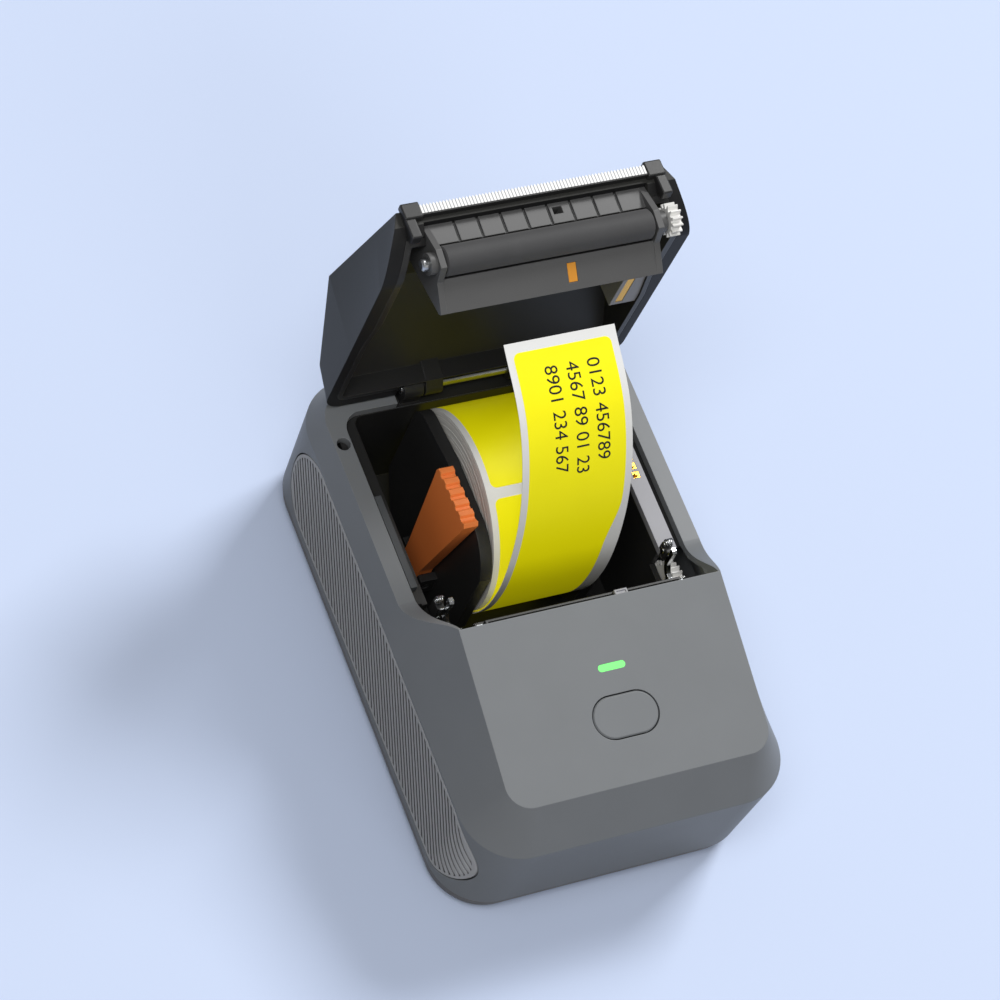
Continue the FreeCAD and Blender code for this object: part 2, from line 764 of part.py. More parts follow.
def lid_form(inset, drop, smooth=False):
    """Shut lid from its rim edge up to the sloping top, drawn in by an inset, its mouth lowered by a drop."""
    tip_y = size("lid_tip_y") + inset
    rise = size("(ridge_z - lid_tip_z) / (ridge_y - lid_tip_y)")
    fall = size("(ridge_z - shoulder_z) / (shoulder_y - ridge_y)")
    top_sink = inset * math.hypot(1, rise)
    rear_sink = inset * math.hypot(1, fall)
    ridge_y = size("ridge_y") + (top_sink - rear_sink) / (rise + fall)
    shoulder_y = size("shoulder_y") - inset
    low_z = size("lid_low_z") - drop
    half = size("lid_half") - inset
    rear = size("lid_rear_y") - inset
    turn = size("lid_corner") - inset
    tip_half = size("lid_tip_half") - inset
    ridge_half = size("ridge_half") - inset
    shoulder_half = size("shoulder_half") - inset
    swoop_y = size("swoop_y")

    def top(x, y):
        return (x, y, size("lid_tip_z") + (y - size("lid_tip_y")) * rise - top_sink)

    def back(x, y):
        return (x, y, size("ridge_z") - (y - size("ridge_y")) * fall - rear_sink)

    curve = swoop(inset + size("rim_half - lid_half"), drop - size("lid_gap"))
    steps = [index / 200 for index in range(200)]
    start = min(steps, key=lambda step: abs(curve.value(step).y - tip_y))
    curve.segment(start, 1)
    curve.setPole(1, curve.value(0) + Vector(0, tip_y - curve.value(0).y, 0))
    foot = curve.value(0)
    breast = tip_half + (ridge_half - tip_half) * (swoop_y - tip_y) / (ridge_y - tip_y)
    short = turn * (1 - math.sqrt(0.5))
    upper = [
        line(top(tip_half, tip_y), top(breast, swoop_y)),
        line(top(breast, swoop_y), top(ridge_half, ridge_y)),
        line(back(ridge_half, ridge_y), back(shoulder_half, shoulder_y - turn)),
        arc(back(shoulder_half, shoulder_y - turn), back(shoulder_half - short, shoulder_y - short),
            back(shoulder_half - turn, shoulder_y)),
        line(back(shoulder_half - turn, shoulder_y), back(0, shoulder_y)),
    ]
    lower = [
        curve.toShape(),
        line((half, swoop_y, low_z), (half, ridge_y, low_z)),
        line((half, ridge_y, low_z), (half, rear - turn, low_z)),
        corner_arc((half - turn, rear - turn), turn, 0, low_z),
        line((half - turn, rear, low_z), (0, rear, low_z)),
    ]
    upper, lower = paired(upper, lower, smooth)
    tip = top(tip_half, tip_y)
    crown = line(tip, (-tip[0], tip[1], tip[2]))
    crest = line(top(ridge_half, ridge_y), top(-ridge_half, ridge_y))
    front_top = flat(upper[:2])
    rear_top = flat(upper[2:])
    rim = flat(lower[1:])
    caps = [
        polygon(tip, tuple(foot), (-foot.x, foot.y, foot.z), (-tip[0], tip[1], tip[2])),
        planar(crown, crest, *front_top, *map(mirrored, front_top)),
        planar(crest, *rear_top, *map(mirrored, rear_top)),
        *spanned(lower[0], smooth),
        planar(*rim, *map(mirrored, rim), line((half, swoop_y, low_z), (-half, swoop_y, low_z))),
    ]
    return skinned(upper, lower, caps, smooth)


def hinge_bar(radius, low, high):
    """Pair of short cylinders on the hinge line, one on each side of the middle."""
    start = Vector(low, size("hinge_y"), size("hinge_z"))
    right = Part.makeCylinder(radius, high - low, start, X_AXIS)
    return right.fuse(mirrored(right))


def make_lid():
    """Lid shell and the black liner with its hinge arms."""
    hinge = Vector(-size("trough_half"), size("hinge_y"), size("hinge_z"))
    clear = Part.makeCylinder(size("barrel_radius + 0.6"), size("trough_half * 2"), hinge, X_AXIS)
    below = Part.makeBox(size("trough_half * 2"), 10, 10, hinge - Vector(0, 0.6, 10))
    reach_x = size("cheek_outer") + 0.1
    chin_spot = Vector(-reach_x, size("lid_tip_y") - 1, size("bracket_top_z") - 10)
    chin = Part.makeBox(2 * reach_x, 6, 10, chin_spot)
    outer = lid_form(0, 0, True)
    inner = lid_form(size("lid_wall"), 6)
    shell = outer.cut(inner).cut(clear).cut(below).cut(chin)
    shut["shell"] = shell
    keep("lid_shell", solid("lid_shell", shell), lid=True)

    liner = inner.common(outer).cut(lid_form(size("lid_wall + liner_wall"), 8))
    wheel_x = size("gear_low_x") - 0.4
    wheel_room = Part.makeCylinder(size("gear_module * (platen_teeth / 2 + 0.9)") + 0.4, 4.4,
                                   Vector(wheel_x, size("platen_y"), size("platen_z")), X_AXIS)
    liner = liner.cut(clear).cut(below).cut(chin).cut(wheel_room)
    shut["liner"] = liner
    low_x = size("lid_barrel_low")
    reach = [(0.4, 2.4), (-1, -2.4), (-3.4, -0.8), (-5.1, 5.6)]
    arm = polygon(*[(low_x, hinge.y + across, hinge.z + up) for across, up in reach])
    arm = arm.extrude(Vector(size("lid_barrel_high") - low_x, 0, 0)).cut(shell)
    bars = hinge_bar(size("barrel_radius"), low_x, size("lid_barrel_high"))
    liner = liner.fuse([arm, mirrored(arm), bars])
    liner = liner.cut(hinge_bar(size("pin_radius + running_gap"), 0, size("trough_half")))
    assert len(liner.Solids) == 1, "the hinge arms stand clear of the liner"
    keep("lid_liner", solid("lid_liner", liner.removeSplitter()), lid=True)


def on_plate(down, out):
    """Formulas of a point on the lower paper plate, at a distance down its face and out of it."""
    rise, run = 0.834, 0.552
    return (f"platen_y + 2.2 + {run * down - rise * out}", f"platen_z - 3.4 - {rise * down + run * out}")


def make_bracket():
    """Platen bracket under the lid's front: comb face, cradle, lower paper plate and two cheeks."""
    plate_tip = [("platen_y + 6.5", "platen_z - 9.9"), ("platen_y + 7.5", "platen_z - 9.1")]
    block = profile("bracket_block", [
        ("platen_y - 1.2", "bracket_top_z"), ("platen_y - 0.8", "platen_z + 3.6"),
        ("platen_y + 1", "platen_z"), ("platen_y + 2.2", "platen_z - 3.4"), *plate_tip,
        ("platen_y + 6.8", "platen_z"), ("platen_y + 6.8", "bracket_top_z + 4"),
        ("platen_y + 1", "bracket_top_z + 4"), ("platen_y + 1", "bracket_top_z"),
    ], ("-cheek_inner", "cheek_inner"))
    cradle = rod("bracket_cradle", "x", ("platen_y", "platen_z"), ("-cheek_inner - 1", "cheek_inner + 1"),
                 "platen_radius + 0.5")
    grooves = []
    for index in range(int(size("comb_grooves"))):
        middle = f"({index} - (comb_grooves - 1) / 2) * comb_pitch"
        grooves.append(box(f"comb_groove_{index}", (f"{middle} - 0.35", f"{middle} + 0.35"),
                           ("platen_y - 3", "platen_y - 0.4"), ("platen_z + 3", "54")))
    eye = box("comb_eye", ("4", "6.4"), ("platen_y - 4", "platen_y + 3"), ("platen_z + 6.2", "platen_z + 8"))
    window = profile("window_pocket", [
        on_plate(1.4, 0.5), on_plate(6, 0.5), on_plate(6, -1.1), on_plate(1.4, -1.1),
    ], ("4.2", "6.6"))
    block = cut("bracket_body", block, cradle, *grooves, eye, window)
    cheeks = []
    for side, span in (("left", ("-cheek_outer", "-cheek_inner")), ("right", ("cheek_inner", "cheek_outer"))):
        cheeks.append(profile(f"{side}_cheek", [
            ("platen_y - 1.2", "bracket_top_z"), ("platen_y - 3.4", "platen_z + 1.4"),
            ("platen_y - 2.6", "platen_z - 3"), ("platen_y + 2.2", "platen_z - 4"), *plate_tip,
            ("platen_y + 13", "bracket_top_z + 6"),
            ("platen_y + 1", "bracket_top_z + 4"), ("platen_y + 1", "bracket_top_z"),
        ], span))
    bores = rod("bush_bore", "x", ("platen_y", "platen_z"), ("-cheek_outer - 1", "cheek_outer + 1"),
                "bush_radius")
    hull = solid("lid_hull", shut["shell"].fuse(shut["liner"]))
    keep("platen_bracket", cut("platen_bracket", fuse("bracket_union", block, *cheeks), bores, hull), lid=True)
    glow = profile("sensor_window", [on_plate(1.5, -0.05), on_plate(5.9, -0.05), on_plate(5.9, -1.1),
                                     on_plate(1.5, -1.1)], ("4.3", "6.5"))
    keep("sensor_window", glow, lid=True)


def make_platen():
    """Rubber platen on its steel shaft with bushes and a white end gear."""
    home = Placement(Vector(0, size("platen_y"), size("platen_z")), Rotation())
    shaft = turned("platen_shaft", [
        ("shaft_left", "0"), ("shaft_right", "0"), ("shaft_right", "shaft_radius"),
        ("shaft_left + 0.4", "shaft_radius"), ("shaft_left", "shaft_radius - 0.4"),
    ])
    rubber = turned("platen_rubber", [
        ("-platen_half", "shaft_radius"), ("platen_half", "shaft_radius"),
        ("platen_half", "platen_radius - 0.3"), ("platen_half - 0.3", "platen_radius"),
        ("-platen_half + 0.3", "platen_radius"), ("-platen_half", "platen_radius - 0.3"),
    ])
    for label, body in (("platen_shaft", shaft), ("platen_rubber", rubber)):
        body.Placement = home
        keep(label, body, lid=True)
    bore = "shaft_radius + running_gap"
    left = turned("left_bush", [
        ("-bush_outer", bore), ("-bush_inner", bore),
        ("-bush_inner", "bush_radius"), ("-bush_outer", "bush_radius"),
    ])
    right = turned("right_bush", [
        ("bush_inner", bore), ("bush_outer", bore),
        ("bush_outer", "bush_radius"), ("bush_inner", "bush_radius"),
    ])
    for label, body in (("left_platen_bush", left), ("right_platen_bush", right)):
        body.Placement = home
        keep(label, body, lid=True)
    centre = (size("platen_y"), size("platen_z"))
    gear = toothed_wheel(int(size("platen_teeth")), centre, size("shaft_radius"), size("idler_bearing"), True)
    keep("platen_gear", solid("platen_gear", gear), lid=True)


def tooth_outline(teeth, module, facing, gap):
    """Outline points of a spur gear with a tooth, or a gap between teeth, facing an angle in degrees."""
    pitch = teeth * module / 2
    shape = ((pitch - 1.2 * module, -0.62), (pitch + 0.9 * module, -0.2), (pitch + 0.9 * module, 0.2),
             (pitch - 1.2 * module, 0.62))
    step = 2 * math.pi / teeth
    first = math.radians(facing) + (step / 2 if gap else 0)
    points = []
    for index in range(teeth):
        for radius, share in shape:
            angle = first + (index + share / 2) * step
            points.append((radius * math.cos(angle), radius * math.sin(angle)))
    return points


def toothed_wheel(teeth, centre, bore, facing, gap):
    """Spur gear in the drive plane on an X axis through a (y, z) centre."""
    low = size("gear_low_x")
    points = tooth_outline(teeth, size("gear_module"), facing, gap)
    corners = [Vector(low, centre[0] + across, centre[1] + up) for across, up in points]
    wide = size("gear_high_x") - low
    blank = Part.Face(Part.makePolygon(corners + corners[:1])).extrude(Vector(wide, 0, 0))
    return blank.cut(Part.makeCylinder(bore, wide, Vector(low, *centre), X_AXIS))


def meshed(centre, teeth, next_teeth, bearing):
    """Centre of a gear in mesh with another one, seen under a bearing in degrees."""
    apart = size("gear_module") * (teeth + next_teeth) / 2 + size("mesh_gap")
    turn = math.radians(bearing)
    return (centre[0] + apart * math.cos(turn), centre[1] + apart * math.sin(turn))


def gap_facing(tooth_angle, teeth, next_teeth, bearing):
    """Angle at which the next gear has a gap, so that its teeth stand between those of the first."""
    step = 360 / teeth
    nearest = tooth_angle + round((bearing - tooth_angle) / step) * step
    return bearing - 180 + (bearing - nearest) * teeth / next_teeth


def make_drive():
    """Motor, side plate and the gears that lead to the platen gear when the lid is shut."""
    platen_teeth, idler_teeth = int(size("platen_teeth")), int(size("idler_teeth"))
    relay_teeth, pinion_teeth = int(size("relay_teeth")), int(size("pinion_teeth"))
    radius = size("axle_radius")
    bore = radius + size("running_gap")
    idler = meshed((size("platen_y"), size("platen_z")), platen_teeth, idler_teeth, size("idler_bearing"))
    relay = meshed(idler, idler_teeth, relay_teeth, size("relay_bearing"))
    motor = meshed(relay, relay_teeth, pinion_teeth, size("pinion_bearing"))
    idler_tooth = size("idler_bearing - 180")
    relay_gap = gap_facing(idler_tooth, idler_teeth, relay_teeth, size("relay_bearing"))
    relay_tooth = relay_gap + 180 / relay_teeth
    pinion_gap = gap_facing(relay_tooth, relay_teeth, pinion_teeth, size("pinion_bearing"))
    keep("idler_gear", solid("idler_gear", toothed_wheel(idler_teeth, idler, bore, idler_tooth, False)))
    keep("relay_gear", solid("relay_gear", toothed_wheel(relay_teeth, relay, bore, relay_gap, True)))
    keep("motor_pinion", solid("motor_pinion", toothed_wheel(pinion_teeth, motor, radius, pinion_gap, True)))
    plate_low = size("plate_low_x")
    plate_high = size("plate_high_x")
    gear_end = size("gear_high_x") + 0.4
    tray_side = size("tray_right - tray_wall")
    for label, start, spot in (("idler_axle", tray_side, idler), ("relay_axle", plate_low, relay)):
        axle = Part.makeCylinder(radius, gear_end - start, Vector(start, *spot), X_AXIS)
        head = Part.makeCylinder(1.8 * radius, 0.6, Vector(gear_end, *spot), X_AXIS)
        keep(label, solid(label, axle.fuse(head)))
    low, high = size("motor_low_x"), size("motor_high_x")
    can = Part.makeCylinder(size("motor_radius"), high - low, Vector(low, *motor), X_AXIS)
    boss = Part.makeCylinder(3, plate_high - high, Vector(high, *motor), X_AXIS)
    well = Part.makeCylinder(bore, plate_high - high + 2, Vector(high - 2, *motor), X_AXIS)
    keep("drive_motor", solid("drive_motor", can.fuse(boss).cut(well)))
    shaft = Part.makeCylinder(radius, gear_end - high + 1.5, Vector(high - 1.5, *motor), X_AXIS)
    keep("motor_shaft", solid("motor_shaft", shaft))
    rear = size(CARRIER_FRONT)
    corners = [(motor[0] - 10, motor[1] - 10), (motor[0] + 10, motor[1] - 10), (rear, relay[1] - 9),
               (rear, relay[1] + 10), (motor[0] - 4, motor[1] + 11), (motor[0] - 10, motor[1] + 6)]
    points = [Vector(plate_low, y, z) for y, z in corners]
    plate = Part.Face(Part.makePolygon(points + points[:1])).extrude(Vector(plate_high - plate_low, 0, 0))
    for spot, hole in ((relay, radius), (motor, 3)):
        plate = plate.cut(Part.makeCylinder(hole, 4, Vector(plate_low - 1, *spot), X_AXIS))
    keep("drive_plate", solid("drive_plate", plate))


def make_tear_bar():
    """Serrated tear bar and the black holder along the lid's front edge, with a horn at each end."""
    front = "lid_tip_y - holder_thick"
    bar_back = f"{front} + tear_thick"
    end = "mouth_front_half - 0.4"
    holder = box("holder_bar", (f"-({end})", end), (front, "lid_tip_y"),
                 ("tear_low_z - 0.4", "lid_tip_z - 0.2"))
    seat = box("holder_seat", ("-tear_half - 0.1", "tear_half + 0.1"), (f"{front} - 1", bar_back),
               ("tear_low_z - 0.1", "lid_tip_z + 1"))
    horns = []
    for name, low, high in (("left", "-tear_half - 2.6", "-tear_half - 0.4"),
                            ("right", "tear_half + 0.4", "tear_half + 2.6")):
        horns.append(box(f"{name}_horn", (low, high), (front, "lid_tip_y"),
                         ("tear_low_z", "tear_high_z + 0.6")))
    keep("tear_bar_holder", fuse("tear_bar_holder", cut("holder_body", holder, seat), *horns), lid=True)
    half = size("tear_half")
    pitch = size("tooth_pitch")
    count = int(2 * half / pitch)
    y = size(bar_back)
    high = size("tear_high_z")
    outline = [(-half, size("tear_low_z")), (half, size("tear_low_z"))]
    for index in range(count):
        tooth = half - pitch * index
        outline += [(tooth, high - size("tooth_height")), (tooth - pitch / 2, high)]
    outline.append((-half, high - size("tooth_height")))
    strip = polygon(*[(x, y, z) for x, z in outline]).extrude(Vector(0, -size("tear_thick"), 0))
    keep("tear_bar", solid("tear_bar", strip), lid=True)


def make_lid_contacts():
    """Grey block with a gilt pad in the lid that lands on the sprung contacts of the case."""
    front = "contact_y - 2.6"
    rear = "contact_y + contact_pitch * (contact_count - 1) + 2.6"
    low = "lid_low_z + 0.5"
    across = ("contact_x - 1", "contact_x + 1")
    middle = (f"{front} + 1", f"{rear} - 1")
    block = box("pad_block", ("contact_x - 2.2", "lid_half"), (front, rear), (low, f"{low} + 6"))
    seat = box("pad_seat", across, middle, (f"{low} - 1", f"{low} + 0.5"))
    hollow = doc.addObject("Part::Common", "pad_hollow")
    hollow.Base = cut("pad_cut", block, seat)
    hollow.Tool = solid("lid_hollow", lid_form(size("lid_wall + liner_wall"), 8))
    keep("lid_contact_block", recomputed(hollow), lid=True)
    pad = box("pad", across, middle, (f"{low} + 0.1", f"{low} + 0.5"))
    keep("lid_contact_pad", solid("lid_contact_pad", recomputed(pad).Shape.copy()), lid=True)


def recomputed(part):
    """The same object after its bound sizes have been worked out."""
    doc.recompute()
    return part


def make_tray():
    """Black roll tray: tub, flange under the case's rim, hinge knuckles and slots for the guides."""
    flange_high = size("rim_z - wall")
    flange_low = flange_high - size("flange_thick")
    left, right = size("tray_left"), size("tray_right")
    front, rear = size("tray_front_y"), size("tray_rear_y")
    bottom = size("floor_z - floor_thick")
    wall = size("tray_wall")
    tub = Part.makeBox(right - left, rear - front, flange_high - bottom, Vector(left, front, bottom))
    half = size("flange_half")
    flange = Part.makeBox(2 * half, size("hinge_y") + 1.4 - size("swoop_y"), flange_high - flange_low,
                          Vector(-half, size("swoop_y"), flange_low))
    rear_edges = [edge for edge in flange.Edges if along(Z_AXIS)(edge) and edge.CenterOfMass.y > rear]
    flange = flange.makeChamfer(size("flange_corner"), rear_edges)
    hollow = Part.makeBox(right - left - 2 * wall, rear - front - 2 * wall, 60,
                          Vector(left + wall, front + wall, size("floor_z")))
    hollow = hollow.makeFillet(size("tray_corner"), [edge for edge in hollow.Edges if along(Z_AXIS)(edge)])
    tray = tub.fuse(flange).cut(hollow)
    radius = size("barrel_radius")
    long = size("tray_barrel_high - tray_barrel_low")
    posts = []
    for low in (size("tray_barrel_low"), -size("tray_barrel_high")):
        foot = Vector(low, size("hinge_y") - 2, flange_low)
        post = Part.makeBox(long, 4, size("hinge_z") - flange_low, foot)
        barrel = Part.makeCylinder(radius, long, Vector(low, size("hinge_y"), size("hinge_z")), X_AXIS)
        posts += [post, barrel]
    tray = tray.fuse(posts)
    tray = tray.cut(hinge_bar(size("pin_radius"), 0, size("trough_half")))
    dip = Part.makeBox(70, 12, 12, Vector(-35, front - 1, size("head_low_z") - 2.4))
    tray = tray.cut(dip)
    reach = size("guide_inner + guide_thick + guide_travel") + 0.5
    start = size("guide_inner") - 0.5
    for side in (-1, 1):
        y = size("roll_y") + side * size("rack_offset + rack_width / 2")
        slot_x = start if side > 0 else -reach
        slot = Part.makeBox(reach - start, size("rack_width") + 0.8, 6,
                            Vector(slot_x, y - size("rack_width") / 2 - 0.4, bottom - 2))
        tray = tray.cut(slot)
    platen = (size("platen_y"), size("platen_z"))
    idler = meshed(platen, size("platen_teeth"), size("idler_teeth"), size("idler_bearing"))
    tray = tray.cut(Part.makeCylinder(size("axle_radius"), 10, Vector(size("tray_right") - 5, *idler), X_AXIS))
    stub = Vector(0, size("roll_y"), size("rack_z"))
    spindle = Part.makeCylinder(size("spindle_radius"), bottom - size("rack_z"), stub)
    keep("roll_tray", solid("roll_tray", tray.fuse(spindle).removeSplitter()))
    pin = rod("hinge_pin", "x", ("hinge_y", "hinge_z"), ("-pin_half", "pin_half"), "pin_radius")
    keep("hinge_pin", pin)


def make_ledges():
    """Strips inside the rim: a narrow one on the left, the contact ledge with its gilt pins on the right."""
    top = size("rim_z") - 0.3
    low = size("rim_z - wall")
    left_spot = Vector(-size("mouth_half") + 0.3, size("trim_front_y"), low)
    left = Part.makeBox(1.7, size("trim_length"), top - low, left_spot)
    keep("left_trim", solid("left_trim", left))
    ledge = Part.makeBox(size("ledge_high_x - ledge_low_x"), 47, top - low,
                         Vector(size("ledge_low_x"), size("swoop_y") - 1, low))
    pins = []
    for index in range(int(size("contact_count"))):
        spot = Vector(size("contact_x"), size("contact_y") + index * size("contact_pitch"), low)
        collar = Part.makeBox(1.8, 1.8, top - low, spot - Vector(0.9, 0.9, 0))
        ledge = ledge.cut(collar)
        pin = Part.makeCylinder(0.5, 0.6, spot + Vector(0, 0, top - low))
        pins.append(collar.fuse(pin))
    keep("contact_ledge", solid("contact_ledge", ledge))
    keep("contact_pins", solid("contact_pins", Part.makeCompound(pins)))


def guide_shape():
    """Right-hand paper guide above the floor: plate with a rounded top, and the hub that carries the roll."""
    inner = size("guide_inner")
    low = size("floor_z") + 0.3
    front, rear = size("guide_front_y"), size("guide_rear_y")
    top = size("guide_top_z")
    outline = [
        line((inner, front + 8, low), (inner, front, low + 10)),
        line((inner, front, low + 10), (inner, front, top - 9)),
        arc((inner, front, top - 9), (inner, front + 4.1, top - 2.8), (inner, front + 10.6, top)),
        line((inner, front + 10.6, top), (inner, rear - 18, top)),
        line((inner, rear - 18, top), (inner, rear - 4, top - 2.4)),
        arc((inner, rear - 4, top - 2.4), (inner, rear - 1, top - 4.2), (inner, rear, top - 7.4)),
        line((inner, rear, top - 7.4), (inner, rear, low + 10)),
        line((inner, rear, low + 10), (inner, rear - 8, low)),
        line((inner, rear - 8, low), (inner, front + 8, low)),
    ]
    plate = planar(*outline).extrude(Vector(size("guide_thick"), 0, 0))
    spot = Vector(inner - size("hub_length"), size("roll_y"), size("roll_z"))
    return plate.fuse(Part.makeCylinder(size("hub_radius"), size("hub_length"), spot, X_AXIS))


def lever_outline(foot_z):
    """Outline of the lock lever as (y, z) formulas: narrow foot, slanting blade, finger ribs along the top."""
    half = "lever_foot_width / 2"
    outline = [
        (f"lever_y - {half}", f"{foot_z}"), (f"lever_y + {half}", f"{foot_z}"),
        (f"lever_y + {half}", f"{foot_z + 6}"), ("lever_rear_y", "lever_rear_z - 1.2"),
    ]
    ribs = int(size("lever_ribs"))
    for index in range(ribs):
        for share, drop in ((0.15, 0), (0.6, 0), (0.75, 0.7), (1, 0.7)):
            part = (index + share) / (ribs + 0.6)
            outline.append((f"lever_rear_y + (lever_front_y - lever_rear_y) * {part}",
                            f"lever_rear_z + (lever_front_z - lever_rear_z) * {part} - {drop}"))
    outline += [("lever_front_y + 0.7", "lever_front_z"), ("lever_front_y", "lever_front_z - 1"),
                (f"lever_y - {half}", f"{foot_z + 6}")]
    return outline


def make_guides():
    """The two paper guides, which a pinion under the floor keeps centred, and the orange lock lever."""
    wide = size("rack_width")
    tall = size("rack_high_z - rack_z")
    pitch = size("guide_module") * math.pi
    base = size("guide_inner")
    middle_x = base + size("guide_thick") / 2
    reach = size("rack_reach")
    shapes = {}
    for name, side in (("left_guide", -1), ("right_guide", 1)):
        plate = guide_shape() if side > 0 else mirrored(guide_shape())
        y = size("roll_y") + side * size("rack_offset + rack_width / 2")
        leg = Part.makeBox(2.6, wide, size("floor_z") + 1.3 - size("rack_z"),
                           Vector(side * middle_x - 1.3, y - wide / 2, size("rack_z")))
        bar = Part.makeBox(reach + middle_x, wide, tall,
                           Vector(-reach if side > 0 else -middle_x, y - wide / 2, size("rack_z")))
        teeth = []
        flank = y - side * wide / 2
        tip = flank - side * size("rack_tooth")
        for index in range(-5, 6):
            middle = (index + 0.5) * pitch
            if abs(middle) > reach:
                continue
            corners = [(middle - 0.9, flank), (middle + 0.9, flank),
                       (middle + 0.28, tip), (middle - 0.28, tip)]
            tooth = polygon(*[(x, across, size("rack_z")) for x, across in corners])
            teeth.append(tooth.extrude(Vector(0, 0, tall)))
        shapes[name] = plate.fuse([leg, bar] + teeth)
    pivot_x = -(base + size("guide_thick + lever_gap + lever_thick / 2"))
    pivot_z = size("lever_pivot_z")
    lever_y = size("lever_y")
    half = size("lever_foot_width / 2") + 0.3
    ears = []
    ear_long = -(base + size("guide_thick")) - pivot_x + 1.9
    for y in (lever_y - half - 2, lever_y + half):
        ears.append(Part.makeBox(ear_long, 2, 6, Vector(pivot_x - 1.9, y, pivot_z - 3)))
    bore = Part.makeCylinder(size("lever_pin_radius"), 30, Vector(pivot_x, lever_y - 15, pivot_z), Y_AXIS)
    shapes["left_guide"] = shapes["left_guide"].fuse(ears).cut(bore)
    for name, shape in shapes.items():
        keep(name, solid(name, shape.removeSplitter()))
    long = half + 1.9
    pin = rod("lever_pin", "y", (pivot_x, pivot_z), (f"lever_y - {long}", f"lever_y + {long}"),
              "lever_pin_radius")
    keep("lever_pin", pin)
    lever = profile("lever_blade", lever_outline(pivot_z - 2),
                    (f"{pivot_x} - lever_thick / 2", f"{pivot_x} + lever_thick / 2"))
    eye = rod("lever_eye", "y", (pivot_x, pivot_z), ("lever_y - 10", "lever_y + 10"),
              "lever_pin_radius + running_gap")
    keep("guide_lock", cut("guide_lock", lever, eye))
    points = tooth_outline(int(size("guide_teeth")), size("guide_module"), 90, False)
    wheel = polygon(*[(x, size("roll_y") + y, size("rack_z") + 0.1) for x, y in points])
    wheel = wheel.extrude(Vector(0, 0, tall - 0.2))
    bore = size("spindle_radius + running_gap")
    wheel = wheel.cut(Part.makeCylinder(bore, 10, Vector(0, size("roll_y"), size("rack_z") - 2)))
    keep("guide_pinion", solid("guide_pinion", wheel))


def make_roll():
    """Label roll on its cardboard core, and the free strip that curls back over it."""
    centre = Vector(-size("roll_half"), size("roll_y"), size("roll_z"))
    wide = size("roll_half * 2")
    paper = Part.makeCylinder(size("roll_radius"), wide, centre, X_AXIS)
    paper = paper.cut(Part.makeCylinder(size("core_radius"), wide, centre, X_AXIS))
    keep("label_roll", solid("label_roll", paper))
    core = Part.makeCylinder(size("core_radius"), wide - 0.4, centre + Vector(0.2, 0, 0), X_AXIS)
    core = core.cut(Part.makeCylinder(size("core_bore"), wide, centre, X_AXIS))
    keep("roll_core", solid("roll_core", core))
    reach = size("roll_radius + strip_thick") + 0.05
    track = []
    for angle, lift in ((226, 0), (219, 0), (205, 0.25)):
        turn = math.radians(angle)
        track.append((centre.y + (reach + lift) * math.cos(turn), centre.z + (reach + lift) * math.sin(turn)))
    track += [(-4.6, 28.5), (-6.2, 39), (-5.0, 53), (1.5, 71.8), (12.8, 85.5), (29.7, 93.9)]
    spine = Part.BSplineCurve()
    spine.interpolate([Vector(-size("roll_half"), y, z) for y, z in track])
    path = Part.Wire([bend.toShape() for bend in spine.toBiArcs(0.02)])
    edge_on = path.makeOffset2D(size("strip_thick"), 0, True, True)
    strip = edge_on.extrude(Vector(wide, 0, 0))
    assert strip.Solids, "the strip has no thickness"
    keep("label_strip", solid("label_strip", strip.Solids[0]))


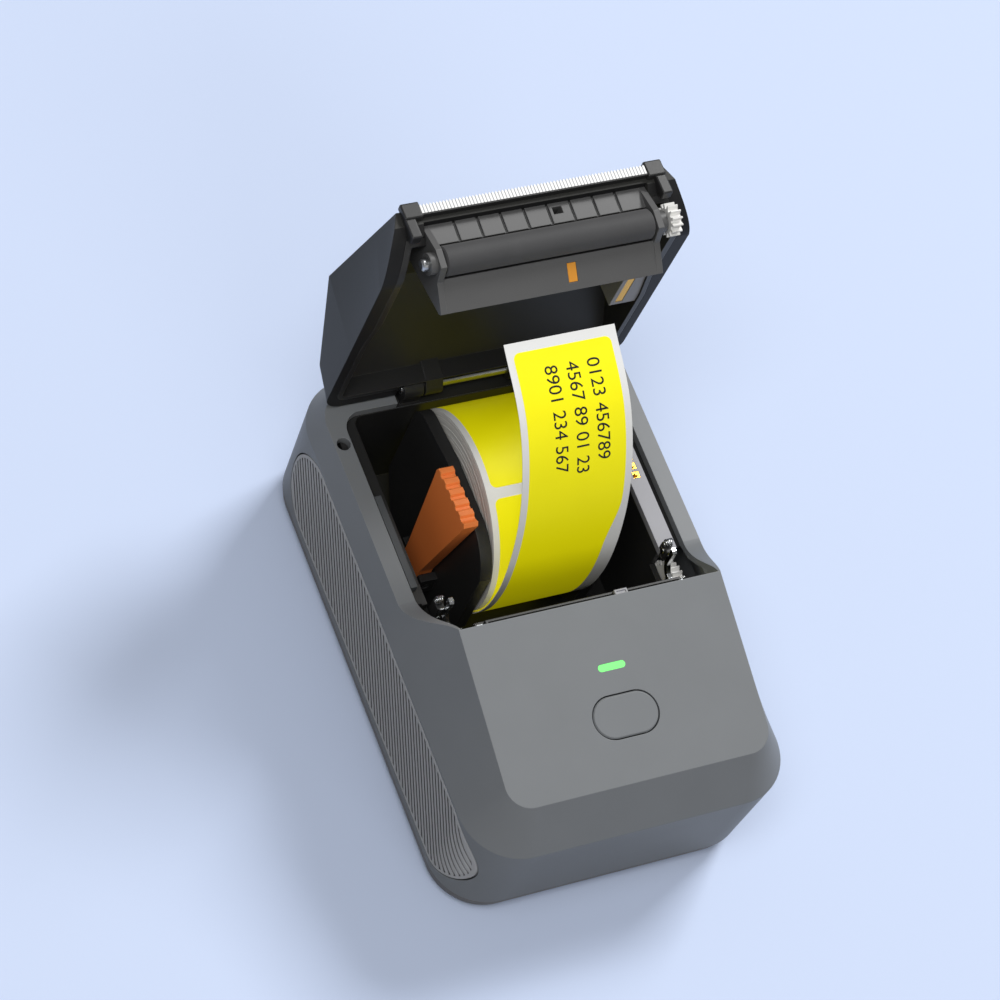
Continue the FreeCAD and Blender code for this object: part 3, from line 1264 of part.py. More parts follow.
def make_head():
    """Thermal head on its heat sink, the carrier behind it and the two platen clips."""
    face = "head_face_y"
    across = ("-head_half", "head_half")
    head = box("thermal_head", across, (f"{face} - head_thick", face), ("head_low_z", "head_high_z - 1"))
    keep("thermal_head", head)
    back = f"{face} - head_thick"
    sink = box("sink_plate", across, (f"{back} - sink_thick", back), ("head_low_z - 1", "head_high_z"))
    fins = []
    for index in range(12):
        x = f"-head_half + 2 + {index} * 4.4"
        fins.append(box(f"sink_gap_{index}", (x, f"{x} + 2.2"), (f"{back} - sink_thick - 1", f"{back} - 1.1"),
                        ("head_low_z - 2", "head_high_z - 4")))
    keep("head_heat_sink", cut("head_heat_sink", sink, *fins))
    floor = "base_z + 2"
    web = profile("carrier_web", [
        (SINK_REAR, "head_high_z"), (CARRIER_FRONT, "head_high_z"), (CARRIER_FRONT, f"{floor} + 2"),
        (f"{CARRIER_FRONT} - 4", f"{floor} + 2"), (f"{CARRIER_FRONT} - 4", floor), (f"{SINK_REAR} + 2", floor),
        (f"{SINK_REAR} + 2", f"{floor} + 2"), (SINK_REAR, f"{floor} + 2"),
    ], ("-plate_low_x", "plate_low_x"))
    ears = []
    for name, low, high in (("left", "-clip_low_x", "-head_half - 0.1"),
                            ("right", "head_half + 0.1", "clip_low_x")):
        ears.append(box(f"{name}_ear", (low, high), (CARRIER_FRONT, f"{face} - 1"),
                        ("head_low_z - 2.5", "head_low_z + 4.5")))
    keep("head_carrier", fuse("head_carrier", web, *ears))
    for name, low, high in (("left_clip", "-clip_high_x", "-clip_low_x"),
                            ("right_clip", "clip_low_x", "clip_high_x")):
        ring_out = rod(f"{name}_ring", "x", ("platen_y", "platen_z"), (low, high), "clip_radius")
        stem = profile(f"{name}_stem", [
            ("platen_y + 3", "platen_z - 2"), ("platen_y + 4.6", "platen_z + 4.4"),
            ("platen_y + 3.6", "platen_z + 4.4"), ("platen_y - 5", "platen_z - 1"),
            ("head_face_y - 6", "platen_z - 4"), ("head_face_y - 6", "platen_z - 8"),
            ("platen_y - 1", "platen_z - 7"),
        ], (low, high))
        through = (f"{low} - 1", f"{high} + 1")
        throat = box(f"{name}_throat", through, ("platen_y - clip_bore", "platen_y + clip_bore"),
                     ("platen_z", "platen_z + 9"))
        eye = rod(f"{name}_eye", "x", ("platen_y", "platen_z"), through, "clip_bore")
        keep(f"{name[:-5]}_platen_clip", cut(name, fuse(f"{name}_blank", ring_out, stem), eye, throat))


def make_controls():
    """Power button, light window, control board with its switch, battery and charging socket."""
    cap = stadium(size("button_length"), size("button_width"), -size("button_thick"), 0.1, size("button_down"))
    frame = panel_frame()
    outwards = frame.Rotation.multVec(Z_AXIS)
    top = [edge for edge in cap.Edges if (edge.CenterOfMass - frame.Base).dot(outwards) > 0.05]
    flange = stadium(size("button_length") + 3, size("button_width") + 3, -size("button_thick"),
                     -size("wall") - 0.4, size("button_down"))
    keep("power_button", solid("power_button", cap.makeChamfer(0.3, top).fuse(flange)))
    lens = stadium(size("light_length"), size("light_width"), -size("board_drop"), 0.05, size("light_down"))
    keep("light_window", solid("light_window", lens))
    board = Part.makeBox(52, 34, size("board_thick"), Vector(-26, 6, -size("board_drop + board_thick")))
    board.Placement = frame.multiply(board.Placement)
    keep("control_board", solid("control_board", board))
    base = Part.makeBox(6, 6, 3, Vector(-3, size("button_down") - 3, -size("board_drop")))
    knob = Part.makeCylinder(1.6, 0.5, Vector(0, size("button_down"), -size("board_drop") + 3))
    switch = base.fuse(knob)
    switch.Placement = frame.multiply(switch.Placement)
    keep("button_switch", solid("button_switch", switch))
    cell = Part.makeBox(39, 30, 11, Vector(-32, -60, size("base_z") + 2))
    cell = cell.makeFillet(2.5, [edge for edge in cell.Edges if along(X_AXIS)(edge)])
    keep("battery_pack", solid("battery_pack", cell))
    mouth = size("rear_y - tuck") - 0.9
    wide, tall = size("socket_half_width"), size("socket_half_height")
    middle = Vector(size("socket_x"), mouth, size("socket_z"))
    shell = Part.makeBox(2 * wide, 7, 2 * tall, middle - Vector(wide, 7, tall))
    shell = shell.makeFillet(tall - 0.05, [edge for edge in shell.Edges if along(Y_AXIS)(edge)])
    hollow = Part.makeBox(2 * wide - 0.6, 6, 2 * tall - 0.6, middle - Vector(wide - 0.3, 6, tall - 0.3))
    hollow = hollow.makeFillet(tall - 0.4, [edge for edge in hollow.Edges if along(Y_AXIS)(edge)])
    tongue = Part.makeBox(6.6, 5, 0.7, middle - Vector(3.3, 6.2, 0.35))
    keep("charging_socket", solid("charging_socket", shell.cut(hollow).fuse(tongue)))
    shelf = Part.makeBox(16, 8.3, 1.6, middle - Vector(8, 9.5, tall + 1.6))
    keep("socket_board", solid("socket_board", shelf))


for make in (make_case, make_grips, make_bottom, make_feet, make_lid, make_bracket, make_platen, make_drive,
             make_tear_bar, make_lid_contacts, make_tray, make_ledges, make_guides, make_roll, make_head,
             make_controls):
    make()
doc.recompute()

for item in doc.Objects:
    assert not {"Invalid", "Error"} & set(item.State), f"{item.Name} failed"
os.makedirs("parts", exist_ok=True)
for piece in pieces:
    assert not piece.Shape.isNull() and piece.Shape.isValid(), f"{piece.Label} is not valid"
    piece.Shape.exportStep(f"parts/{piece.Label}.step")
print(len(pieces), "pieces written")
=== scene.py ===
"""Looks of a desktop thermal label printer with its lid open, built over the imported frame.

Sizes are metres in the frame's own axes: X to the right seen from the front, the front
towards -Y, Z up. Pieces that the scene adds state theirs in millimetres.
"""

import logging
import math
from bisect import bisect_right
from dataclasses import dataclass, field
from enum import Enum
from typing import Callable, Iterable, Sequence

import bpy
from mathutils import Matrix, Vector

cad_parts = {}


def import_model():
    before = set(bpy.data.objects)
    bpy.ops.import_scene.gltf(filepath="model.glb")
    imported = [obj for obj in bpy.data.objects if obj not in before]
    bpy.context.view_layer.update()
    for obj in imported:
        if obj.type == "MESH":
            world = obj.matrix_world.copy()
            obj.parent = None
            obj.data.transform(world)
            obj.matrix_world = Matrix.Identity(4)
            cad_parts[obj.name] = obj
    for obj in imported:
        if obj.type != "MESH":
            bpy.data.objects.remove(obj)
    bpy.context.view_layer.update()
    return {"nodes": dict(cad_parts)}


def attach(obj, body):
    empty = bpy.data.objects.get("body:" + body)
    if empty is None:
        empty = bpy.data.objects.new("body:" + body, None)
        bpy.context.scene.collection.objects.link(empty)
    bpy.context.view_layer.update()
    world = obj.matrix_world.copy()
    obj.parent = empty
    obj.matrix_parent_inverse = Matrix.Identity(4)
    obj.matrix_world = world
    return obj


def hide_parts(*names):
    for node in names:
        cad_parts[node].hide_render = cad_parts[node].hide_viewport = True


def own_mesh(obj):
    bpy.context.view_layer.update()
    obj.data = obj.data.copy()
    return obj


LOG = logging.getLogger("label_printer")
MM = 0.001
CLOUD_SIZE = 12 * MM
GRAIN_SIZE = 0.22 * MM
GRAIN_DEPTH = 0.02 * MM
GRAIN_SHOWS = 0.35
FACES_ALONG = 0.9
SOFT_ANGLE = math.radians(40)
Triple = tuple[float, float, float]
Box = tuple[Sequence[float], Sequence[float]]
Piece = bpy.types.Object
Socket = bpy.types.NodeSocket


def shade(code: str, gain: float = 1.0) -> Triple:
    """Linear colour of a screen colour code.

    Args:
        code: Six hexadecimal digits, such as "7f8386".
        gain: Factor on the linear light.

    Returns:
        Red, green and blue in linear light, at most 1.
    """
    channels = (int(code[start:start + 2], 16) / 255 for start in (0, 2, 4))
    linear = (c / 12.92 if c <= 0.04045 else ((c + 0.055) / 1.055) ** 2.4 for c in channels)
    return tuple(min(1.0, c * gain) for c in linear)


class Grain(Enum):
    """Direction in which a metal's grinding lines run."""

    ALONG_X = (0.02, 1.0, 1.0)
    ALONG_Z = (1.0, 1.0, 0.02)
    EVEN = (1.0, 1.0, 1.0)


class Graph:
    """Node tree of one material."""

    EDGE_TURN = 0.93
    EDGE_SOFT = 0.05
    BEVEL_SAMPLES = 6

    def __init__(self, name: str) -> None:
        """Start a material with its principled shader."""
        self.material = bpy.data.materials.new(name)
        self.material.use_nodes = True
        self.tree = self.material.node_tree
        self.shader = self.tree.nodes["Principled BSDF"]

    def add(self, kind: str, **inputs: object) -> bpy.types.Node:
        """Add a node and fill its inputs.

        Args:
            kind: Node type.
            inputs: Socket names with a value, or a socket to link.

        Returns:
            The new node.
        """
        node = self.tree.nodes.new(kind)
        for name, value in inputs.items():
            self.fill(node.inputs[name.replace("_", " ")], value)
        return node

    def fill(self, target: Socket, value: object) -> None:
        """Set a socket to a value, or link it to another socket."""
        if isinstance(value, Socket):
            self.tree.links.new(value, target)
        else:
            target.default_value = value

    def place(self) -> Socket:
        """Position on the piece in its own axes."""
        return self.add("ShaderNodeTexCoord").outputs["Object"]

    def stretched(self, scale: Sequence[float]) -> Socket:
        """Position on the piece, stretched along its axes."""
        return self.add("ShaderNodeMapping", Vector=self.place(), Scale=scale).outputs["Vector"]

    def noise(self, scale: float, detail: float = 3.0, at: Socket | None = None) -> Socket:
        """Cloudy factor.

        Args:
            scale: Blotches per metre.
            detail: Octaves.
            at: Position to read, the piece's own by default.

        Returns:
            Factor from 0 to 1.
        """
        node = self.add("ShaderNodeTexNoise", Vector=at or self.place(), Scale=scale, Detail=detail)
        return node.outputs["Fac"]

    def math(self, operation: str, first: object, second: object = 0.0) -> Socket:
        """Result of one sum on two values."""
        node = self.tree.nodes.new("ShaderNodeMath")
        node.operation = operation
        self.fill(node.inputs[0], first)
        self.fill(node.inputs[1], second)
        return node.outputs[0]

    def dot(self, first: object, second: object) -> Socket:
        """Dot product of two directions."""
        node = self.tree.nodes.new("ShaderNodeVectorMath")
        node.operation = "DOT_PRODUCT"
        self.fill(node.inputs[0], first)
        self.fill(node.inputs[1], second)
        return node.outputs["Value"]

    def span(self, value: Socket, low: float, high: float) -> Socket:
        """Factor 0 to 1 mapped between two numbers."""
        node = self.add("ShaderNodeMapRange", Value=value, To_Min=low, To_Max=high)
        return node.outputs["Result"]

    def step(self, value: Socket, edge: float, soft: float) -> Socket:
        """Factor that turns from 0 to 1 as a value passes an edge."""
        node = self.add("ShaderNodeMapRange", Value=value,
                        From_Min=edge - soft, From_Max=edge + soft)
        node.interpolation_type = "SMOOTHSTEP"
        return node.outputs["Result"]

    def blend(self, factor: Socket, first: object, second: object) -> Socket:
        """Colour between two colours."""
        node = self.tree.nodes.new("ShaderNodeMix")
        node.data_type = "RGBA"
        self.fill(node.inputs["Factor"], factor)
        for name, value in (("A", first), ("B", second)):
            socket = next(s for s in node.inputs if s.name == name and s.type == "RGBA")
            self.fill(socket, (*value, 1.0) if isinstance(value, tuple) else value)
        return next(s for s in node.outputs if s.type == "RGBA")

    def softened(self, radius: float) -> Socket:
        """Surface direction with its sharp edges rounded off by a small radius."""
        node = self.add("ShaderNodeBevel", Radius=radius)
        node.samples = self.BEVEL_SAMPLES
        return node.outputs["Normal"]

    def worn(self, normal: Socket) -> Socket:
        """Factor that rises on edges, where a softened direction leaves the true one."""
        true = self.add("ShaderNodeNewGeometry").outputs["Normal"]
        return self.step(self.dot(normal, true), self.EDGE_TURN, -self.EDGE_SOFT)

    def bump(self, height: Socket, strength: float, depth: float,
             normal: Socket | None = None) -> None:
        """Give the shader relief from a height factor.

        Args:
            height: Factor from 0 to 1.
            strength: Share of the relief that shows.
            depth: Height of the relief.
            normal: Direction that the relief starts from, the surface's own by default.
        """
        node = self.add("ShaderNodeBump", Height=height, Strength=strength, Distance=depth)
        if normal:
            self.fill(node.inputs["Normal"], normal)
        self.fill(self.shader.inputs["Normal"], node.outputs["Normal"])

    def set(self, **inputs: object) -> None:
        """Fill the shader's own sockets."""
        for name, value in inputs.items():
            value = (*value, 1.0) if isinstance(value, tuple) and len(value) == 3 else value
            self.fill(self.shader.inputs[name.replace("_", " ")], value)


class Surface:
    """What the finishes share: a material, which each fills in its own way."""

    def material(self, name: str) -> bpy.types.Material:
        """Build the finish.

        Args:
            name: Name of the material.

        Returns:
            The material.
        """
        graph = Graph(name)
        self.dress(graph)
        return graph.material

    def dress(self, graph: Graph) -> None:
        """Fill the graph of a material."""
        raise NotImplementedError


@dataclass(frozen=True)
class MouldedPlastic(Surface):
    """Injection-moulded plastic with a fine spark-eroded grain and slightly polished edges."""

    colour: str
    roughness: float = 0.48
    grain: float = GRAIN_SIZE
    depth: float = GRAIN_DEPTH
    spread: float = 0.06
    mottle: float = 0.05
    specular: float = 0.4
    edge_radius: float = 0.25 * MM
    edge_gain: float = 1.25

    def dress(self, graph: Graph) -> None:
        """Fill the graph of a material.

        Args:
            graph: Graph to fill.
        """
        cloud = graph.noise(1 / CLOUD_SIZE, 4.0)
        pale, deep = 1 + self.mottle, 1 - self.mottle
        body = graph.blend(cloud, shade(self.colour, deep), shade(self.colour, pale))
        speck = graph.noise(1 / self.grain, 2.0)
        edge = graph.softened(self.edge_radius)
        colour = graph.blend(graph.worn(edge), body, shade(self.colour, self.edge_gain))
        graph.set(Base_Color=colour, Specular_IOR_Level=self.specular)
        low, high = self.roughness - self.spread, self.roughness + self.spread
        graph.set(Roughness=graph.span(speck, low, high))
        graph.bump(speck, GRAIN_SHOWS, self.depth, edge)


@dataclass(frozen=True)
class RibbedPlastic(Surface):
    """Ribbed grip with painted shade, speckled, in its grooves, and a plain pale colour on its
    ridges.
    """

    ridge: str
    # Colour of the painted shade in the grooves.
    groove_shade: str
    reach: float = 1.1 * MM

    def dress(self, graph: Graph) -> None:
        """Fill the graph of a material.

        Args:
            graph: Graph to fill.
        """
        # Painted shade: ambient occlusion finds the grooves, which take the dark colour; the open
        # ridges keep the pale one.
        shelter = graph.add("ShaderNodeAmbientOcclusion", Distance=self.reach)
        shelter.samples = 8
        shelter.only_local = True
        speck = graph.noise(1 / (0.25 * MM), 3.0)
        open_air = graph.step(shelter.outputs["AO"], 0.62, 0.2)
        speckled_shade = graph.blend(speck, shade(self.groove_shade), shade(self.groove_shade, 1.5))
        colour = graph.blend(open_air, speckled_shade, shade(self.ridge))
        graph.set(Base_Color=colour, Specular_IOR_Level=0.35)
        graph.set(Roughness=graph.span(speck, 0.45, 0.6))
        graph.bump(speck, GRAIN_SHOWS, GRAIN_DEPTH, graph.softened(0.15 * MM))


@dataclass(frozen=True)
class TwoToneShell(Surface):
    """Painted shell whose parting edge, the faces that look one way, is left black."""

    colour: str
    edge_colour: str
    facing: Triple
    roughness: float = 0.52

    def dress(self, graph: Graph) -> None:
        """Fill the graph of a material.

        Args:
            graph: Graph to fill.
        """
        cloud = graph.noise(1 / CLOUD_SIZE, 4.0)
        speck = graph.noise(1 / GRAIN_SIZE, 2.0)
        edge = graph.softened(0.3 * MM)
        normal = graph.add("ShaderNodeTexCoord").outputs["Normal"]
        front = graph.step(graph.dot(normal, self.facing), 0.6, 0.08)
        paint = graph.blend(cloud, shade(self.colour, 0.95), shade(self.colour, 1.05))
        paint = graph.blend(graph.worn(edge), paint, shade(self.colour, 1.3))
        colour = graph.blend(front, paint, shade(self.edge_colour))
        graph.set(Base_Color=colour, Specular_IOR_Level=0.25)
        graph.set(Roughness=graph.span(speck, self.roughness - 0.05, self.roughness + 0.07))
        graph.bump(speck, GRAIN_SHOWS, GRAIN_DEPTH, edge)


@dataclass(frozen=True)
class ToothedBlade(Surface):
    """White tear bar with painted shade, a dark line in each gap between its teeth."""

    colour: str
    gap_shade: str
    pitch: float = 0.82 * MM
    start: float = -28.7 * MM

    def dress(self, graph: Graph) -> None:
        """Fill the graph of a material.

        Args:
            graph: Graph to fill.
        """
        across = graph.add("ShaderNodeSeparateXYZ", Vector=graph.place()).outputs["X"]
        along = graph.math("SUBTRACT", across, self.start)
        share = graph.math("DIVIDE", graph.math("PINGPONG", along, self.pitch / 2), self.pitch / 2)
        tooth = graph.step(share, 0.3, 0.2)
        # Painted shade in each gap between the teeth.
        graph.set(Base_Color=graph.blend(tooth, shade(self.gap_shade), shade(self.colour)))
        graph.set(Roughness=graph.span(graph.noise(1 / (0.3 * MM)), 0.3, 0.45))
        graph.bump(tooth, 0.5, 0.05 * MM)


@dataclass(frozen=True)
class GroundMetal(Surface):
    """Metal with grinding lines or an even satin."""

    colour: str
    roughness: float = 0.28
    grain: Grain = Grain.EVEN
    depth: float = 0.01 * MM

    def dress(self, graph: Graph) -> None:
        """Fill the graph of a material.

        Args:
            graph: Graph to fill.
        """
        lines = graph.noise(1 / (0.2 * MM), 3.0, graph.stretched(self.grain.value))
        cloud = graph.noise(1 / (4 * MM), 3.0)
        colour = graph.blend(cloud, shade(self.colour, 0.86), shade(self.colour))
        graph.set(Base_Color=colour, Metallic=1.0)
        graph.set(Roughness=graph.span(lines, self.roughness - 0.08, self.roughness + 0.1))
        graph.bump(lines, 0.25, self.depth, graph.softened(0.15 * MM))


@dataclass(frozen=True)
class SoftRubber(Surface):
    """Dull rubber with a dusty ground surface."""

    colour: str
    roughness: float = 0.66

    def dress(self, graph: Graph) -> None:
        """Fill the graph of a material.

        Args:
            graph: Graph to fill.
        """
        dust = graph.noise(1 / (0.5 * MM), 5.0)
        cloud = graph.noise(1 / (7 * MM), 3.0)
        graph.set(Base_Color=graph.blend(cloud, shade(self.colour, 0.85), shade(self.colour, 1.15)))
        graph.set(Roughness=graph.span(dust, self.roughness - 0.08, self.roughness + 0.1))
        graph.set(Sheen_Weight=0.15, Sheen_Roughness=0.5, Specular_IOR_Level=0.35)
        graph.bump(dust, 0.4, 0.03 * MM)


@dataclass(frozen=True)
class GlowingWindow(Surface):
    """Diffusing window with a lamp behind it, which glows on its outer face alone."""

    colour: str
    strength: float
    facing: Triple = (0.0, -0.2, 0.98)

    def dress(self, graph: Graph) -> None:
        """Fill the graph of a material.

        Args:
            graph: Graph to fill.
        """
        cloud = graph.noise(1 / (1.2 * MM), 3.0)
        colour = graph.blend(cloud, shade(self.colour, 0.9), shade(self.colour))
        normal = graph.add("ShaderNodeTexCoord").outputs["Normal"]
        outer = graph.step(graph.dot(normal, self.facing), 0.5, 0.2)
        graph.set(Base_Color=colour, Emission_Color=colour, Roughness=0.3)
        graph.set(Emission_Strength=graph.math("MULTIPLY", outer, self.strength))
        graph.bump(cloud, 0.2, 0.02 * MM)


@dataclass(frozen=True)
class LabelStock(Surface):
    """Die-cut bright labels on a white liner, laid out on a map in web widths and label pitches;
    the labels carry a painted glow that lifts them out of shade.
    """

    label: str
    liner: str
    width: float
    pitch: float
    margin: float = 1.7 * MM
    gap: float = 2.6 * MM
    corner: float = 1.6 * MM
    # Strength of the painted glow of the labels.
    painted_glow: float = 0.2

    def dress(self, graph: Graph) -> None:
        """Fill the graph of a material.

        Args:
            graph: Graph to fill.
        """
        axes = graph.add("ShaderNodeSeparateXYZ", Vector=graph.add("ShaderNodeUVMap").outputs["UV"])
        across = self.beyond(graph, axes.outputs["X"], self.width, self.margin)
        turn = graph.math("FRACT", axes.outputs["Y"])
        along = self.beyond(graph, turn, self.pitch, self.gap / 2)
        reach = graph.math("SQRT", graph.math("ADD", across, along))
        backing = graph.step(reach, self.corner, 0.06 * MM)
        fibre = graph.noise(1 / (0.35 * MM), 5.0)
        cloud = graph.noise(1 / (9 * MM), 3.0)
        paint = graph.blend(cloud, shade(self.label, 0.94), shade(self.label))
        paper = graph.blend(cloud, shade(self.liner, 0.93), shade(self.liner))
        graph.set(Base_Color=graph.blend(backing, paint, paper), Specular_IOR_Level=0.35)
        # Painted light: the labels emit their own colour, and the liner emits nothing.
        light = graph.blend(backing, paint, shade("000000"))
        graph.set(Emission_Color=light, Emission_Strength=self.painted_glow)
        graph.set(Roughness=graph.span(fibre, 0.42, 0.58))
        relief = graph.math("SUBTRACT", graph.math("MULTIPLY", fibre, 0.15), backing)
        graph.bump(relief, 0.6, 0.08 * MM)

    def beyond(self, graph: Graph, share: Socket, length: float, border: float) -> Socket:
        """Square of how far a point lies past the start of a label's rounded corners.

        Args:
            graph: Graph to add to.
            share: Place along the label's side, from 0 to 1.
            length: Length that a share of 1 stands for.
            border: Liner left bare at each end.

        Returns:
            Square of the distance in metres.
        """
        middle = graph.math("ABSOLUTE", graph.math("SUBTRACT", share, 0.5))
        place = graph.math("MULTIPLY", middle, length)
        past = graph.math("SUBTRACT", place, length / 2 - border - self.corner)
        return graph.math("POWER", graph.math("MAXIMUM", past, 0.0), 2.0)


@dataclass(frozen=True)
class WoundPaper(Surface):
    """Edge of wound paper: fine rings about the roll's axis."""

    colour: str
    centre: tuple[float, float]
    pitch: float = 0.28 * MM

    def dress(self, graph: Graph) -> None:
        """Fill the graph of a material.

        Args:
            graph: Graph to fill.
        """
        axes = graph.add("ShaderNodeSeparateXYZ", Vector=graph.place())
        y = graph.math("SUBTRACT", axes.outputs["Y"], self.centre[0])
        z = graph.math("SUBTRACT", axes.outputs["Z"], self.centre[1])
        squares = graph.math("ADD", graph.math("POWER", y, 2.0), graph.math("POWER", z, 2.0))
        radius = graph.math("SQRT", squares)
        line = graph.math("DIVIDE", graph.math("PINGPONG", radius, self.pitch), self.pitch)
        cloud = graph.noise(1 / (3 * MM), 3.0)
        ring = graph.blend(line, shade(self.colour, 0.74), shade(self.colour))
        graph.set(Base_Color=graph.blend(cloud, ring, shade(self.colour, 0.9)), Roughness=0.75)
        graph.bump(line, 0.5, 0.05 * MM)


@dataclass(frozen=True)
class PlainPaper(Surface):
    """Uncoated back of the liner, with visible fibres."""

    colour: str

    def dress(self, graph: Graph) -> None:
        """Fill the graph of a material.

        Args:
            graph: Graph to fill.
        """
        fibre = graph.noise(1 / (0.4 * MM), 6.0)
        cloud = graph.noise(1 / (8 * MM), 3.0)
        graph.set(Base_Color=graph.blend(cloud, shade(self.colour, 0.93), shade(self.colour)))
        graph.set(Roughness=graph.span(fibre, 0.6, 0.8), Specular_IOR_Level=0.3)
        graph.bump(fibre, 0.4, 0.04 * MM)


@dataclass(frozen=True)
class WebSizes:
    """Sizes of the label web that its finish and its pieces share."""

    centre: tuple[float, float] = (21.14 * MM, 32.06 * MM)
    roll_radius: float = 24.66 * MM
    core_radius: float = 7.9 * MM
    half_width: float = 14.15 * MM
    pitch: float = 105.0 * MM


WEB = WebSizes()
LID_MOUTH = (0.0, -0.9994, -0.0349)


class Finish(Enum):
    """Finishes of the printer's pieces."""

    CASE = MouldedPlastic("7a7d80", roughness=0.46)
    GRIP = RibbedPlastic("b9babd", "38393b")
    BASE = MouldedPlastic("66625f", roughness=0.5)
    TRIM = MouldedPlastic("4c4f52", roughness=0.5)
    LID = TwoToneShell("353533", "1a1a1b", LID_MOUTH)
    BLACK = MouldedPlastic("282828", roughness=0.4, mottle=0.12, edge_gain=1.7)
    CHASSIS = MouldedPlastic("5a5a5a", roughness=0.42, mottle=0.08, edge_gain=1.5)
    LEDGE = MouldedPlastic("94949a", roughness=0.42)
    ORANGE = MouldedPlastic("ff8a45", roughness=0.42)
    AMBER = MouldedPlastic("e39a3a", roughness=0.25)
    WHITE = MouldedPlastic("f0efec", roughness=0.38, mottle=0.02, edge_gain=1.0)
    BLADE = ToothedBlade("f2f2f0", "8f9194")
    BOARD = MouldedPlastic("24563a", roughness=0.35, mottle=0.15)
    CELL = MouldedPlastic("3d6e9a", roughness=0.3)
    CERAMIC = MouldedPlastic("2e2b28", roughness=0.2)
    CARD = MouldedPlastic("c9c2b4", roughness=0.75)
    INK = MouldedPlastic("141414", roughness=0.6)
    PLATEN = SoftRubber("464647")
    FOOT = SoftRubber("242424")
    STEEL = GroundMetal("c4c6c8", grain=Grain.ALONG_X)
    CHROME = GroundMetal("e2e4e6", roughness=0.14)
    ALLOY = GroundMetal("a9acae", roughness=0.4, grain=Grain.ALONG_Z)
    GILT = GroundMetal("d9a441", roughness=0.25)
    LIGHT = GlowingWindow("7df07f", 0.6)
    LABEL = LabelStock("f7ee00", "f1f1ef", 2 * WEB.half_width, WEB.pitch)
    LINER = PlainPaper("efeeea")
    EDGE = WoundPaper("dedcd6", WEB.centre)


class Wardrobe:
    """Keeps one material for each finish."""

    def __init__(self) -> None:
        """Start empty."""
        self.made: dict[Finish, bpy.types.Material] = {}

    def material(self, finish: Finish) -> bpy.types.Material:
        """Material of a finish, built the first time it is asked for."""
        if finish not in self.made:
            self.made[finish] = finish.value.material(finish.name.lower())
        return self.made[finish]

    def dress(self, piece: Piece, *finishes: Finish) -> None:
        """Replace a piece's materials.

        Args:
            piece: Object to dress.
            finishes: One finish for each of its slots.
        """
        slots = piece.data.materials
        while len(slots) < len(finishes):
            slots.append(None)
        for index, finish in enumerate(finishes):
            slots[index] = self.material(finish)


def leave_edit() -> None:
    """Go back to object mode."""
    bpy.ops.object.mode_set(mode="OBJECT")


def deselect() -> None:
    """Leave edit mode with nothing selected."""
    if bpy.context.object and bpy.context.object.mode != "OBJECT":
        leave_edit()
    bpy.ops.object.select_all(action="DESELECT")


def focus(piece: Piece) -> None:
    """Select one piece alone and make it the active one."""
    deselect()
    piece.select_set(True)
    bpy.context.view_layer.objects.active = piece


def settle(piece: Piece, name: str) -> Piece:
    """Put a piece's place into its mesh and name it."""
    focus(piece)
    bpy.ops.object.transform_apply()
    piece.name = name
    piece.data.name = name
    return piece


def hand_over(piece: Piece, body: str, slot: str, *nodes: str) -> None:
    """Tell the frame where a piece belongs.

    Args:
        piece: Finished piece.
        body: Body that it rides on.
        slot: Material slot of the record. Not used.
        nodes: Nodes that it stands for.
    """
    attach(piece, body)
    if nodes:
        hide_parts(*nodes)
    LOG.info("%s rides on %s", piece.name, body)


def pick_faces(piece: Piece, test: Callable[[bpy.types.MeshPolygon], bool]) -> None:
    """Select the faces that pass a test and go into edit mode on them."""
    focus(piece)
    bpy.ops.object.mode_set(mode="EDIT")
    bpy.ops.mesh.select_mode(type="FACE")
    bpy.ops.mesh.select_all(action="DESELECT")
    leave_edit()
    for face in piece.data.polygons:
        face.select = test(face)
    bpy.ops.object.mode_set(mode="EDIT")


def recess(piece: Piece, facing: Sequence[float], rim: float, depth: float,
           draft: float = 0.05) -> None:
    """Sink the largest flat of a piece that faces one way.

    Args:
        piece: Piece to shape.
        facing: Direction of the flat.
        rim: Width left round the recess, in millimetres.
        depth: Depth of the recess, in millimetres.
        draft: How far its walls lean in, in millimetres.
    """
    way = Vector(facing)
    flats = [face for face in piece.data.polygons if face.normal.dot(way) > FACES_ALONG]
    largest = max(flats, key=lambda face: face.area).index
    pick_faces(piece, lambda face: face.index == largest)
    bpy.ops.mesh.inset(thickness=rim * MM)
    bpy.ops.mesh.inset(thickness=draft * MM, depth=-depth * MM)
    leave_edit()


def combine(piece: Piece, tool: Piece, operation: str) -> None:
    """Add a tool's shape to a piece or take it out, and delete the tool.

    Args:
        piece: Piece to change.
        tool: Shape that is used up.
        operation: UNION or DIFFERENCE.
    """
    focus(piece)
    change = piece.modifiers.new("change", "BOOLEAN")
    change.operation = operation
    change.object = tool
    bpy.ops.object.modifier_apply(modifier="change")
    bpy.data.objects.remove(tool)


def clean(piece: Piece, weld: float = 1e-7, ends: int = 16) -> None:
    """Weld a piece's seams, close its open ends and turn its faces outwards.

    Args:
        piece: Piece to mend.
        weld: Distance within which corners become one.
        ends: Most sides that an open end has.
    """
    focus(piece)
    bpy.ops.object.mode_set(mode="EDIT")
    bpy.ops.mesh.select_all(action="SELECT")
    bpy.ops.mesh.remove_doubles(threshold=weld)
    bpy.ops.mesh.fill_holes(sides=ends)
    bpy.ops.mesh.normals_make_consistent(inside=False)
    leave_edit()


def joined(pieces: Sequence[Piece], name: str) -> Piece:
    """One object made of several, with its place in its mesh."""
    deselect()
    for piece in pieces:
        piece.select_set(True)
    bpy.context.view_layer.objects.active = pieces[0]
    bpy.ops.object.join()
    return settle(pieces[0], name)


